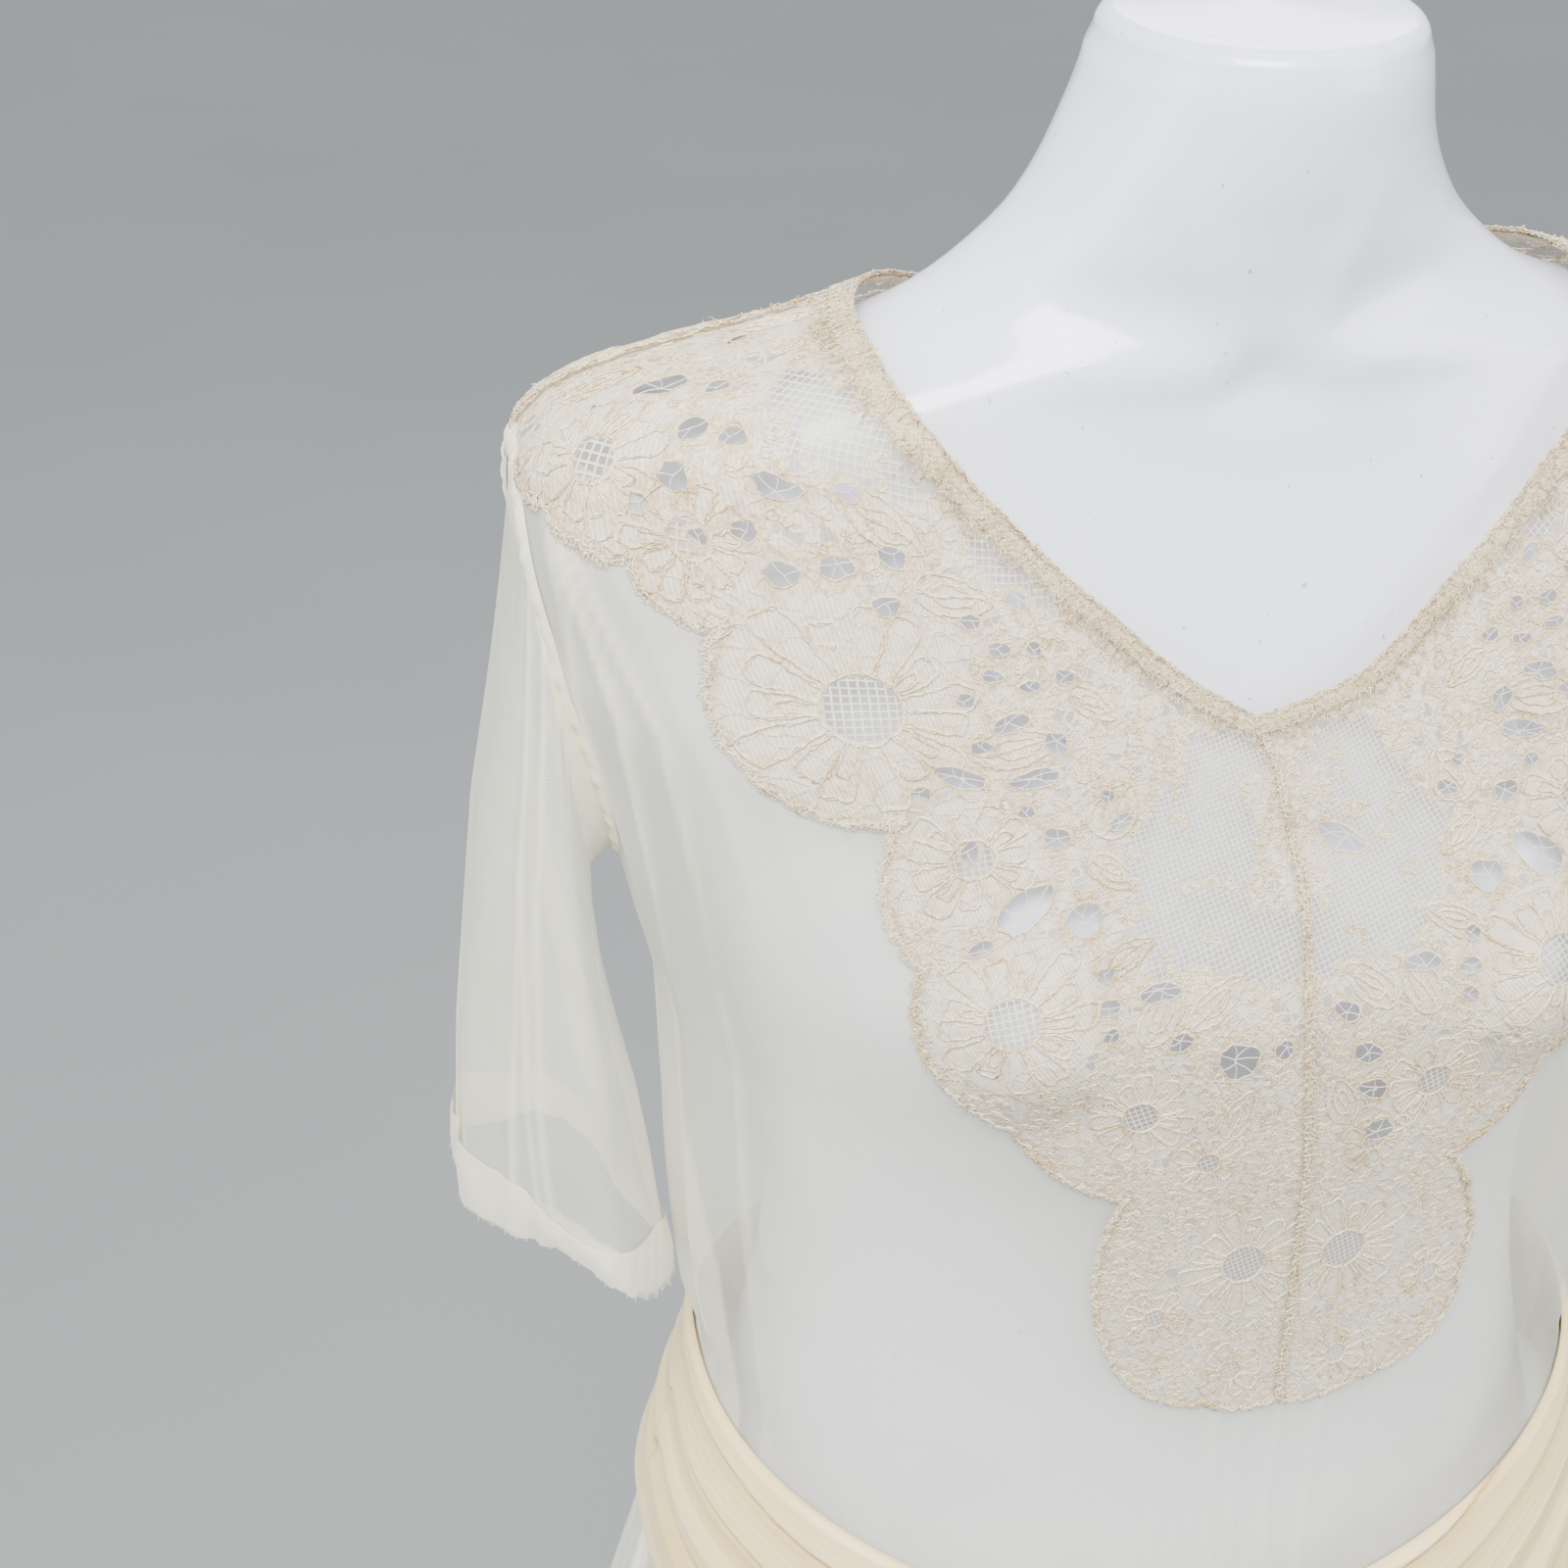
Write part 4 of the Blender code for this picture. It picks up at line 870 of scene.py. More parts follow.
def nearest_on(loops, places):
    """The nearest point of any loop to each place."""
    starts = np.concatenate([np.asarray(loop, float) for loop in loops])
    ends = np.concatenate([np.roll(np.asarray(loop, float), -1, axis=0) for loop in loops])
    run = ends - starts
    square = np.maximum((run * run).sum(axis=1), 1e-9)
    found = np.array(places, float)
    for number, place in enumerate(places):
        part = np.clip(((place - starts) * run).sum(axis=1) / square, 0, 1)
        on = starts + run * part[:, None]
        found[number] = on[np.argmin(((on - place) ** 2).sum(axis=1))]
    return found


def scallops(rows, side=1, steps=12, lobe=8.0, lobe_out=1.1):
    """The scalloped edge: each scallop an arc that swells from its chord, fringed with small round lobes."""
    line = []
    for (x0, y0, _), (x1, y1, swelling) in zip(rows, rows[1:]):
        long = math.hypot(x1 - x0, y1 - y0)
        lobes = max(1, round(long / lobe))
        count = steps * lobes
        for step in range(count):
            part = step / count
            out = swelling * math.sin(math.pi * part) ** 0.8
            out += lobe_out * abs(math.sin(math.pi * part * lobes)) ** 0.7
            line.append((x0 + (x1 - x0) * part + out * (y1 - y0) / long * side,
                         y0 + (y1 - y0) * part - out * (x1 - x0) / long * side))
    line.append(tuple(rows[-1][:2]))
    return line


def along(points, spacing):
    line = []
    for start, end in zip(points, points[1:]):
        count = max(1, round(math.dist(start, end) / spacing))
        line += [tuple(s + (e - s) * i / count for s, e in zip(start, end)) for i in range(count)]
    return line + [tuple(points[-1])]


def other_half(points):
    """The points' places on the other half of the front, whose lower middle hangs round the seam."""
    rises = [rise for _, rise in reversed(FRONT_SEAM)]
    places = [around for around, _ in reversed(FRONT_SEAM)]
    moved = []
    for x, y in points:
        share = step_between(-y, -1260, -1120) * (1 - step_between(abs(x), 100, 190))
        moved.append((-x + 2 * float(share * np.interp(y, rises, places)), y))
    return moved


def mirrored(points, about=0.0):
    return [(2 * about - x, y) for x, y in reversed(points)]


def oval(around, rise, long, wide, turn, sides=14):
    turn = math.radians(turn)
    points = []
    for side in range(sides):
        angle = 2 * math.pi * (side + 0.5) / sides
        uneven_reach = 1 + 0.07 * math.sin(3 * angle + around) + 0.05 * math.sin(5 * angle + rise)
        x, y = uneven_reach * long / 2 * math.cos(angle), uneven_reach * wide / 2 * math.sin(angle)
        points.append((around + x * math.cos(turn) - y * math.sin(turn),
                       rise + x * math.sin(turn) + y * math.cos(turn)))
    return points


def flower_lines(around, rise, radius, petals, turn):
    """The outline threads of one flower: its centre ring, its petals' sides and their round ends."""
    turn = math.radians(turn)
    ring = 0.33 * radius
    lines = [[(around + ring * math.cos(a), rise + ring * math.sin(a)) for a in np.linspace(0, 2 * math.pi, 22)]]
    for petal in range(petals):
        middle = turn + 2 * math.pi * petal / petals
        half = math.pi / petals
        middle += 0.16 * half * math.sin(3.7 * petal + around)
        long = radius * (0.88 + 0.12 * math.sin(2.3 * petal + radius))
        lean = 0.15 * half * math.sin(1.9 * petal + rise)
        for inner in (1.0, 0.58):
            if inner < 1 and (petal + int(radius)) % 3:
                continue
            line = []
            for part in np.linspace(-1, 1, 13 if inner == 1 else 9):
                lobe = ring + inner * (long - ring) * (1 - abs(part) ** 4) ** 0.5
                reach = ring if abs(part) == 1 else lobe
                reach *= 1 + 0.015 * math.sin(7 * part + petal)
                grown = (reach - ring) / (long - ring)
                angle = middle + lean * grown + inner * half * 0.90 * math.copysign(abs(part) ** 0.62, part)
                line.append((around + reach * math.cos(angle), rise + reach * math.sin(angle)))
            lines.append(line)
    return lines


def leaf_lines(around, rise, half_long, half_wide, turn):
    """The outline of one leaf, an inner line that follows it and its midrib."""
    turn = math.radians(turn)

    def placed(x, y):
        return (around + x * math.cos(turn) - y * math.sin(turn), rise + x * math.sin(turn) + y * math.cos(turn))

    lines = []
    for share in (1.0, 0.55):
        angles = np.linspace(0, 2 * math.pi, 20)
        lines.append([placed(share * half_long * math.cos(a), share * half_wide * math.sin(a) * (1 - 0.25 * math.cos(a)))
                      for a in angles])
    lines.append([placed(half_long * x, 0.8 * math.sin(3 * x)) for x in np.linspace(-0.95, 0.95, 7)])
    return lines


def sprig_lines(around, rise, size, turn):
    """A small filling sprig: a curled stem with round buds."""
    lines = []
    stem = []
    for part in np.linspace(0, 1, 10):
        angle = turn + 3.4 * part
        stem.append((around + size * (0.25 + 0.75 * part) * math.cos(angle),
                     rise + size * (0.25 + 0.75 * part) * math.sin(angle)))
    lines.append(stem)
    for part, small in ((0.2, 0.26), (0.6, 0.3), (1.0, 0.34)):
        angle = turn + 3.4 * part
        x = around + size * (0.25 + 0.75 * part) * math.cos(angle)
        y = rise + size * (0.25 + 0.75 * part) * math.sin(angle)
        lines.append([(x + small * size * math.cos(a), y + small * size * math.sin(a))
                      for a in np.linspace(0, 2 * math.pi, 9)])
    return lines


def kept_inside(lines, outline, gaps, spacing=1.3):
    """The lines at an even spacing, cut where they leave the lace or cross a gap."""
    kept = []
    lines = [np.array(along(line, spacing)) for line in lines]
    together = np.concatenate(lines)
    fine = within(outline, together)
    for gap in gaps:
        fine &= ~within(gap, together)
    for line, inside in zip(lines, np.split(fine, np.cumsum([len(line) for line in lines])[:-1])):
        run = []
        for point, wanted in zip(line, inside):
            if wanted:
                run.append(tuple(point))
            elif run:
                kept.append(run)
                run = []
        kept.append(run)
    return [run for run in kept if len(run) > 2]


def uneven(lines, amount, seed):
    """The lines with the small wobble of a laid thread."""
    rng = np.random.default_rng(seed)
    return [np.asarray(line) + rng.normal(0, amount, (len(line), 2)) for line in lines]


def cut_grid(outline, gaps, step):
    """A fine grid of the pattern, cut to an outline with its gaps open and its edges drawn onto them."""
    low, high = np.min(outline, axis=0), np.max(outline, axis=0)
    columns, rows = (int(np.ceil((high[i] - low[i]) / step)) for i in (0, 1))
    built = bmesh.new()
    bmesh.ops.create_grid(built, x_segments=columns, y_segments=rows, size=0.5)
    middles = np.array([face.calc_center_median()[:2] for face in built.faces]) + 0.5
    middles = low + middles * (high - low)
    wanted = within(outline, middles)
    for gap in gaps:
        wanted &= ~within(gap, middles)
    unwanted = [face for face, keep in zip(built.faces, wanted) if not keep]
    bmesh.ops.delete(built, geom=unwanted, context="FACES")
    flat = low + (np.array([vert.co[:2] for vert in built.verts]) + 0.5) * (high - low)
    edge = np.array([vert.is_boundary for vert in built.verts])
    flat[edge] = nearest_on([outline] + gaps, flat[edge])
    return built, flat, edge


def ground_share(flat, flowers, leaves):
    """1 between the flowers and leaves, and 0 on them."""
    share = np.ones(len(flat))
    for around, rise, radius, _, _ in flowers:
        share *= step_between(np.hypot(flat[:, 0] - around, flat[:, 1] - rise), 0.98 * radius, 0.98 * radius + 0.8)
    for around, rise, half_long, half_wide, turn in leaves:
        turn = math.radians(turn)
        x, y = flat[:, 0] - around, flat[:, 1] - rise
        far = np.hypot((x * math.cos(turn) + y * math.sin(turn)) / half_long,
                       (y * math.cos(turn) - x * math.sin(turn)) / half_wide)
        share *= step_between(far, 0.98, 1.1)
    return share


def lace_panel(name, outline, gaps, step, lines, flowers, leaves, nets, nodes, finish):
    """A lace panel that keeps every gap open, with its finish painted from where its motifs lie."""
    built, flat, edge = cut_grid(outline, gaps, step)
    points = cloth(flat[:, 0], flat[:, 1], OVER_CHIFFON, no_folds)
    values = {"net": net_share(flat, flowers, nets), "thread": nearness(flat, lines, 5.0),
              "edge": nearness(flat, [flat[edge]], 6.0), "neck": nearness(flat, neck_lines(), 14.0),
              "ground": ground_share(flat, flowers, leaves)}
    panel = mesh_piece(name, built, points, flat, values)
    return show(panel, finish, nodes)


def neck_lines():
    """The neck's rim, all round."""
    front, half = along(NECKLINE_FRONT, 2), along(NECKLINE_BACK, 2)
    return [front, [(-x, y) for x, y in front], half, mirrored(half, BACK)]


def net_share(flat, flowers, nets):
    """1 where the lace is open net: the flowers' hearts and the plain patches."""
    share = np.zeros(len(flat))
    for around, rise, radius, _, _ in flowers:
        near = np.hypot(flat[:, 0] - around, flat[:, 1] - rise)
        share = np.maximum(share, 1 - step_between(near, 0.33 * radius - 0.7, 0.33 * radius + 0.7))
        share = np.where(near > 0.33 * radius + 0.7, np.where(near < radius, 0.0, share), share)
    covered = np.zeros(len(flat), bool)
    for around, rise, radius, _, _ in flowers:
        covered |= np.hypot(flat[:, 0] - around, flat[:, 1] - rise) < radius * 0.97
    for around, rise, half_wide, half_tall in nets:
        angle = np.arctan2((flat[:, 1] - rise) / half_tall, (flat[:, 0] - around) / half_wide)
        ragged = 1 + 0.09 * np.sin(5 * angle + around) + 0.06 * np.sin(9 * angle)
        far = np.hypot((flat[:, 0] - around) / half_wide, (flat[:, 1] - rise) / half_tall) / ragged
        share = np.where(covered, share, np.maximum(share, 1 - step_between(far, 0.96, 1.04)))
    return share


def nearness(flat, lines, most):
    """How far each place is from the nearest point of some lines, up to a distance."""
    together = np.concatenate([np.asarray(line) for line in lines])
    tree = kdtree.KDTree(len(together))
    for number, (x, y) in enumerate(together):
        tree.insert((x, y, 0.0), number)
    tree.balance()
    return np.array([min(most, tree.find((x, y, 0.0))[2]) for x, y in flat])


def filling(outline, gaps, flowers, leaves, nets, spacing, seed):
    """Small sprigs on a staggered net of places, where nothing larger lies."""
    rng = np.random.default_rng(seed)
    low, high = np.min(outline, axis=0), np.max(outline, axis=0)
    lines = []
    row = 0
    y = low[1]
    while y < high[1]:
        x = low[0] + (row % 2) * spacing / 2
        while x < high[0]:
            place = np.array([x, y]) + rng.uniform(-0.2, 0.2, 2) * spacing
            size = spacing * rng.uniform(0.34, 0.52)
            turn = rng.uniform(0, 2 * math.pi)
            taken = any(math.hypot(place[0] - f[0], place[1] - f[1]) < f[2] + 0.25 * size for f in flowers)
            taken |= any(math.hypot(place[0] - f[0], place[1] - f[1]) < 0.7 * f[2] for f in leaves)
            netted = any(math.hypot((place[0] - n[0]) / n[2], (place[1] - n[1]) / n[3]) < 0.95 for n in nets)
            if not taken and (not netted or rng.random() < 0.18):
                lines += sprig_lines(place[0], place[1], size, turn)
            x += spacing
        y += spacing * 0.87
        row += 1
    return kept_inside(lines, outline, gaps)


def bride_lines(gaps, seed):
    """The thin threads that cross each gap and meet in its middle."""
    rng = np.random.default_rng(seed)
    lines = []
    for gap in gaps:
        gap = np.array(gap)
        middle = gap.mean(axis=0)
        size = np.hypot(*(gap - middle).T).max()
        count = 3 if size < 3.6 else 5 if size < 6 else 7
        knots = [middle + rng.uniform(-0.25, 0.25, 2) * size for _ in range(1 if size < 5 else 2)]
        if len(knots) == 2:
            lines.append([tuple(knots[0]), tuple(knots[1])])
        for number in range(count):
            end = gap[int(len(gap) * (number + rng.uniform(0, 0.6)) / count) % len(gap)]
            start = knots[number % len(knots)]
            bend = (start + end) / 2 + rng.uniform(-0.1, 0.1, 2) * size
            outer = middle + (end - middle) * 1.08
            lines.append([tuple(start), tuple(bend), tuple(outer)])
    return lines


def picot_lines(edge, spacing, size, seed):
    """Tiny loops that stand off the scalloped edge, on its left-hand side going along."""
    rng = np.random.default_rng(seed)
    line = np.array(along(edge, spacing))
    loops = []
    for before, here, after in zip(line, line[1:], line[2:]):
        way = (after - before) / max(np.hypot(*(after - before)), 1e-6)
        out = np.array([way[1], -way[0]])
        reach = size * rng.uniform(0.5, 1.3)
        half = way * size * 0.35
        loops.append([tuple(here - half), tuple(here - half * 0.8 + out * reach * 0.7), tuple(here + out * reach),
                      tuple(here + half * 0.8 + out * reach * 0.6), tuple(here + half)])
    return loops


def chiffon_finish():
    """Sheer silk chiffon: a fine slanting weave, more solid and creamier where it lies double."""
    finish = Finish("chiffon", Roughness=0.62, Sheen_Weight=0.25, Sheen_Roughness=0.5)
    along_it, up_it, flat = finish.pattern()
    double = finish.painted("double")
    cloudy = finish.noise(flat, 0.035, 3.0)
    twill = ((along_it * 0.74 + up_it * 0.67) / 0.85).wave()
    crossing = ((along_it * 0.67 - up_it * 0.74) / 0.62).wave()
    weave = twill * 0.7 + crossing * 0.3
    single = finish.blend(cloudy.between(0.35, 0.7), srgb(245, 242, 221), srgb(249, 246, 226))
    finish.set("Base Color", finish.blend(double, single, srgb(245, 238, 212)))
    finish.set("Alpha", (0.34 + 0.15 * weave + 0.14 * (cloudy - 0.5) + 0.55 * double).least(0.97))
    finish.relief(weave * 0.6 + finish.noise(flat, 0.5, 2.0) * 0.5, 0.12, 0.5)
    return finish


def lace_finish():
    """Silk lace: hatched close work, square net in places, tan along its threads and its edge, with a stain."""
    finish = Finish("lace", Roughness=0.6, Sheen_Weight=0.2)
    along_it, up_it, flat = finish.pattern()
    net, thread, edge = finish.painted("net"), finish.painted("thread"), finish.painted("edge")
    neck = finish.painted("neck")
    wander = finish.noise(flat, 0.09, 2.0) * 1.6
    hatch = ((along_it * 0.86 + up_it * 0.51 + wander) / 0.95).wave()
    first = ((along_it * 0.94 + up_it * 0.34 + wander * 0.5) / 1.75).wave()
    second = ((along_it * -0.34 + up_it * 0.94 + wander * 0.5) / 1.75).wave()
    mesh = first.between(0.70, 0.95).most(second.between(0.70, 0.95))
    close = thread.between(1.0, 0.3)
    ragged = finish.noise(flat, 0.28, 4.0)
    fleck = finish.noise(flat, 1.1, 2.0)
    rim, cell = finish.cells(finish.warped(flat, 0.45, 1.6), 0.27)
    ground = finish.painted("ground") * (1.0 - net)
    web = rim.between(0.11, 0.05) * ground
    opened = cell.between(0.60, 0.64) * rim.between(0.08, 0.13) * ground
    vein = finish.cells(finish.warped(flat, 0.3, 2.6), 0.15)[0].between(0.060, 0.028) * (1.0 - net)
    beside = (thread.between(2.4, 0.4) * fleck.between(0.50, 0.62)).most(web.most(vein) * fleck.between(0.42, 0.60))
    tan = (ragged.between(0.46, 0.70) * 0.40 + beside * 0.55 + edge.between(3.6, 0.4) * (0.25 + 0.5 * fleck)
           + neck.between(13.0, 4.0) * ragged.between(0.34, 0.62) * 0.6).least(1.0)
    cloudy = finish.noise(flat, 0.03, 2.0)
    pale = finish.blend(cloudy.between(0.35, 0.65), srgb(232, 222, 196), srgb(240, 231, 206))
    worked = finish.blend(hatch * 0.5, pale, srgb(250, 243, 222))
    aged = finish.blend(tan * 0.8, worked, srgb(204, 172, 118))
    off = ((along_it + 66) * (along_it + 66) + (up_it - 1216.5) * (up_it - 1216.5)) ** 0.5
    stain = (off + finish.noise(flat, 0.4, 3.0) * 5.0).between(6.2, 3.6)
    speck_place = finish.noise(flat, 0.62, 1.0)
    speck = speck_place.between(0.71, 0.75) * up_it.between(1178, 1150)
    dirty = finish.blend((stain * 0.6 * fleck.between(0.35, 0.55) + speck * 0.7).least(1.0), aged, srgb(188, 138, 76))
    finish.set("Base Color", dirty)
    solid = 0.58 + 0.26 * hatch + 0.10 * ragged
    open_net = 0.12 + 0.72 * mesh
    seen = net * open_net + (1.0 - net) * solid * (1.0 - 0.55 * opened)
    seen = seen.most(web * 0.93).most(vein * 0.9)
    finish.set("Alpha", seen.most(close * 0.96).most(edge.between(1.6, 0.5) * 0.96).least(1.0))
    puff = thread.between(0.2, 2.2) * 0.9
    finish.relief(hatch * 0.35 * (1.0 - net) + mesh * net + puff + ragged * 0.5 + web * 1.1 + vein * 0.8, 0.35, 0.8)
    return finish


def thread_finish(name, light, dark, rough=0.38):
    """Twisted thread flecked with tan, with painted glints: tiny near-white specks of painted highlight in its colour.
    """
    finish = Finish(name, Roughness=rough, Sheen_Weight=0.3)
    place = finish.solid_place()
    patch = finish.noise(place, 60.0, 2.0)
    fleck = finish.noise(place, 900.0, 1.0)
    tone = (patch.between(0.42, 0.68) * 0.6 + fleck.between(0.45, 0.62) * 0.45).least(1.0)
    # painted_glint: painted highlight, near-white specks blended into the thread's colour
    painted_glint = finish.noise(place, 1500.0, 1.0).between(0.56, 0.64)
    finish.set("Base Color", finish.blend(painted_glint * 0.8, finish.blend(tone, light, dark), srgb(255, 250, 236)))
    finish.relief(fleck, 0.2, 0.8)
    return finish


def band_finish():
    """Gathered net and lace, tan-gold, with painted shade in the creases of its gathers, so that their ridges stay
    pale.
    """
    finish = Finish("lace_band", Roughness=0.55, Sheen_Weight=0.2)
    along_it, up_it, flat = finish.pattern()
    first = ((along_it + up_it) / 1.5).wave()
    second = ((along_it - up_it) / 1.5).wave()
    mesh = first.between(0.5, 0.9).most(second.between(0.5, 0.9))
    ragged = finish.noise(flat, 0.35, 4.0)
    ridge = finish.painted("ridge")
    fleck = finish.noise(flat, 1.3, 2.0)
    # Painted shade: the creases between the gathers' ridges are darkened towards tan, on top of the band's own ragged
    # and flecked tan
    tone = (ragged.between(0.38, 0.68) * 0.5 + (1.0 - ridge) * 0.35 + fleck.between(0.5, 0.65) * 0.3).least(1.0)
    finish.set("Base Color", finish.blend(tone, srgb(236, 222, 188), srgb(198, 166, 112)))
    fade = (finish.painted("down") + (ragged - 0.5) * 1.1).between(1.05, 0.70)
    finish.set("Alpha", (0.66 + 0.30 * mesh) * fade)
    finish.relief(mesh * 0.6 + ragged, 0.4, 0.8)
    return finish


def satin_finish():
    """Soft satin: creamy along the folds, with painted shade in ochre where they lie deep between and under each other,
    and a faint lengthwise grain.
    """
    finish = Finish("satin", Roughness=0.29, Sheen_Weight=0.15, Anisotropic=0.35, Coat_Weight=0.05)
    along_it, up_it, flat = finish.pattern()
    # deep: painted shade, ochre where the folds lie deep between and under each other
    deep = finish.painted("deep")
    grain = finish.noise(flat, 1.0, 3.0, (0.05, 2.4, 1.0))
    cloudy = finish.noise(flat, 0.03, 2.0)
    top = finish.blend(cloudy.between(0.3, 0.7), srgb(248, 224, 162), srgb(252, 232, 180))
    streaked = finish.blend(grain.between(0.3, 0.7) * 0.35, top, srgb(236, 208, 146))
    finish.set("Base Color", finish.blend(deep, streaked, srgb(184, 138, 62)))
    finish.set("Roughness", 0.30 + 0.14 * grain)
    finish.relief(grain + finish.noise(flat, 0.25, 2.0, (0.3, 1.0, 1.0)) * 0.6, 0.25, 0.5)
    return finish


def shell_finish():
    """The form's cool white gloss, a little uneven as sprayed fibreglass is."""
    finish = Finish("gloss_shell", Roughness=0.24, Coat_Weight=0.6, Coat_Roughness=0.12)
    place = finish.solid_place()
    cloudy = finish.noise(place, 7.0, 3.0)
    grain = finish.noise(place, 420.0, 2.0)
    speck = finish.noise(place, 420.0, 0.0)
    clean = finish.blend(cloudy.between(0.35, 0.65), srgb(228, 231, 247), srgb(234, 237, 251))
    finish.set("Base Color", finish.blend(speck.between(0.845, 0.855) * 0.5, clean, srgb(90, 88, 90)))
    finish.set("Roughness", 0.20 + 0.10 * cloudy + 0.05 * grain)
    finish.relief(grain * 0.25 + cloudy, 0.25, 0.25)
    return finish


def metal_finish():
    finish = Finish("polished_metal", Metallic=1.0)
    place = finish.solid_place()
    brushed = finish.noise(place, 120.0, 3.0, (1.0, 1.0, 0.04))
    finish.set("Base Color", finish.blend(brushed, srgb(190, 190, 194), srgb(214, 214, 217)))
    finish.set("Roughness", 0.16 + 0.18 * brushed)
    finish.relief(brushed, 0.05, 0.3)
    return finish


def paint_finish():
    finish = Finish("painted_base", Coat_Weight=0.2, Coat_Roughness=0.3)
    place = finish.solid_place()
    peel = finish.noise(place, 260.0, 2.0)
    scuff = finish.noise(place, 30.0, 5.0)
    finish.set("Base Color", finish.blend(scuff.between(0.62, 0.72) * 0.35, srgb(226, 226, 224), srgb(176, 176, 172)))
    finish.set("Roughness", 0.34 + 0.2 * scuff)
    finish.relief(peel, 0.12, 0.35)
    return finish


def floor_finish():
    finish = Finish("floor", Roughness=0.85)
    place = finish.solid_place()
    finish.set("Base Color", finish.blend(finish.noise(place, 1.2, 3.0), FLOOR_DARK, FLOOR_LIGHT))
    return finish


FLOOR_DARK = srgb(136, 139, 139)
FLOOR_LIGHT = srgb(146, 149, 148)


def build_form(finish):
    """The dress form's shell, with the soft forms of its upper front."""
    def place(u, v):
        height = FORM_FOOT + (NECK_TOP - FORM_FOOT) * np.clip(v / 0.94, 0, 1)
        over = np.clip((v - 0.94) / 0.045, 0, 1)
        turn = over * math.pi / 2
        shrink = NECK_ROUND * (1 - np.cos(turn))
        height = np.where(v > 0.94, NECK_TOP - NECK_ROUND * (1 - np.sin(turn)), np.minimum(height, NECK_TOP - NECK_ROUND))
        low = np.clip(v / 0.94, 0, 1)
        height = np.where(v > 0.94, height, FORM_FOOT + (NECK_TOP - NECK_ROUND - FORM_FOOT) * low)
        size = FIGURE.at(np.where(v > 0.94, NECK_TOP, height))
        half_width, front, back, square, centre_x, centre_y = np.moveaxis(size, -1, 0)
        closing = np.clip((v - 0.985) / 0.015, 0, 1)
        angle = 2 * math.pi * u - math.pi / 2
        x_part, y_part = np.cos(angle), np.sin(angle)
        across = np.sign(x_part) * np.abs(x_part) ** (2 / square)
        deep = np.sign(y_part) * np.abs(y_part) ** (2 / square)
        keep = 1 - closing * 0.97
        x = centre_x + (half_width - shrink) * across * keep
        y = centre_y + (np.where(deep > 0, back, front) - shrink) * deep * keep
        y = y - np.where(deep < 0, FORM_IN_CLOTH * swell(x, height) * np.minimum(1.0, -2.5 * deep), 0)
        foot = np.clip(1 - v / 0.004, 0, 1)
        x, y = x * (1 - 0.97 * foot), centre_y + (y - centre_y) * (1 - 0.97 * foot)
        out = np.zeros_like(x)
        for x0, z0, x1, z1, wide, high in FORM_RIDGES:
            run = np.array([x1 - x0, z1 - z0])
            part = np.clip(((x - x0) * run[0] + (height - z0) * run[1]) / (run @ run), 0, 1)
            off = np.hypot(x - x0 - run[0] * part, height - z0 - run[1] * part)
            out += high * np.exp(-((off / wide) ** 2)) * (0.55 + 0.45 * np.sin(math.pi * part))
        for x0, z0, wide, tall, depth in FORM_HOLLOWS:
            out -= depth * np.exp(-(((x - x0) / wide) ** 2) - ((height - z0) / tall) ** 2)
        y = y - np.where(deep < 0, out * np.minimum(1.0, -3 * deep), 0)
        height = np.where(v > 0.985, height + 1.6 * closing, height)
        return np.stack([x, y, height], -1), np.stack([u * 900, v * 700], -1)

    form = grid_sheet("dress_form", 112, 170, place, joined=True)
    return show(form, finish, ["form_torso"])


def armhole_edge(centre, start, end, steps=30):
    """The armhole's edge between two angles, measured up from the underarm on its front side."""
    turns = [math.radians(start + (end - start) * step / steps) for step in range(steps + 1)]
    return [(centre + ARMHOLE_HALF_DEEP * math.sin(turn), ARMHOLE_RISE - ARMHOLE_HALF_TALL * math.cos(turn))
            for turn in turns]


def bodice_outlines():
    """The chiffon of the front and of the back: waist, side seams, armholes and the edge under the lace."""
    gap = SEAM_GAP / 2
    underarm = ARMHOLE_RISE - ARMHOLE_HALF_TALL
    low = float(waist_seam(SIDE))
    half = along([(-SIDE + gap, low), (-SIDE + gap, underarm)], 4)
    half += armhole_edge(-SIDE, 4, 157) + along(CHIFFON_TOP_FRONT, 4)
    other = other_half(half)[::-1]
    waist = [(x, float(waist_seam(x)) + gap) for x in np.linspace(SIDE - gap, gap - SIDE, 100)][1:-1]
    front = half + along([half[-1], CHIFFON_TOP_MIDDLE, other[0]], 4)[1:-1] + other + waist
    half = along([(SIDE + gap, low), (SIDE + gap, underarm)], 4)
    half += armhole_edge(SIDE, 4, 150) + along(CHIFFON_TOP_BACK, 4)
    waist = [(x, float(waist_seam(x)) + gap) for x in np.linspace(2 * BACK - SIDE - gap, SIDE + gap, 100)][1:-1]
    back = half[:-1] + mirrored(half, BACK) + waist
    return front, back


def doubled_share(flat):
    """Where the bodice's chiffon lies double: its seams, the folded strips at its sides and the sharp folds."""
    around, rise = wrapped(flat[:, 0]), flat[:, 1]
    seam = np.minimum(np.abs(np.abs(around) - SIDE), np.abs(around - (2 * BACK - SIDE)))
    share = step_between(-seam, -5.0, -3.5)
    inner = SIDE - 37 + np.maximum(rise - 1105, 0) * 0.16
    strip = step_between(np.abs(around), inner - 1.0, inner + 1.0) * (np.abs(around) <= SIDE)
    share = np.maximum(share, 0.55 * strip * (1 - step_between(rise, 1130, 1245)))
    for line, _, _, paint in SHOULDER_FOLDS:
        near, part = beside(flat, line)
        share = np.maximum(share, paint * np.exp(-((near / 1.5) ** 2)) * (1 - step_between(part, 0.6, 1.0)))
    return share


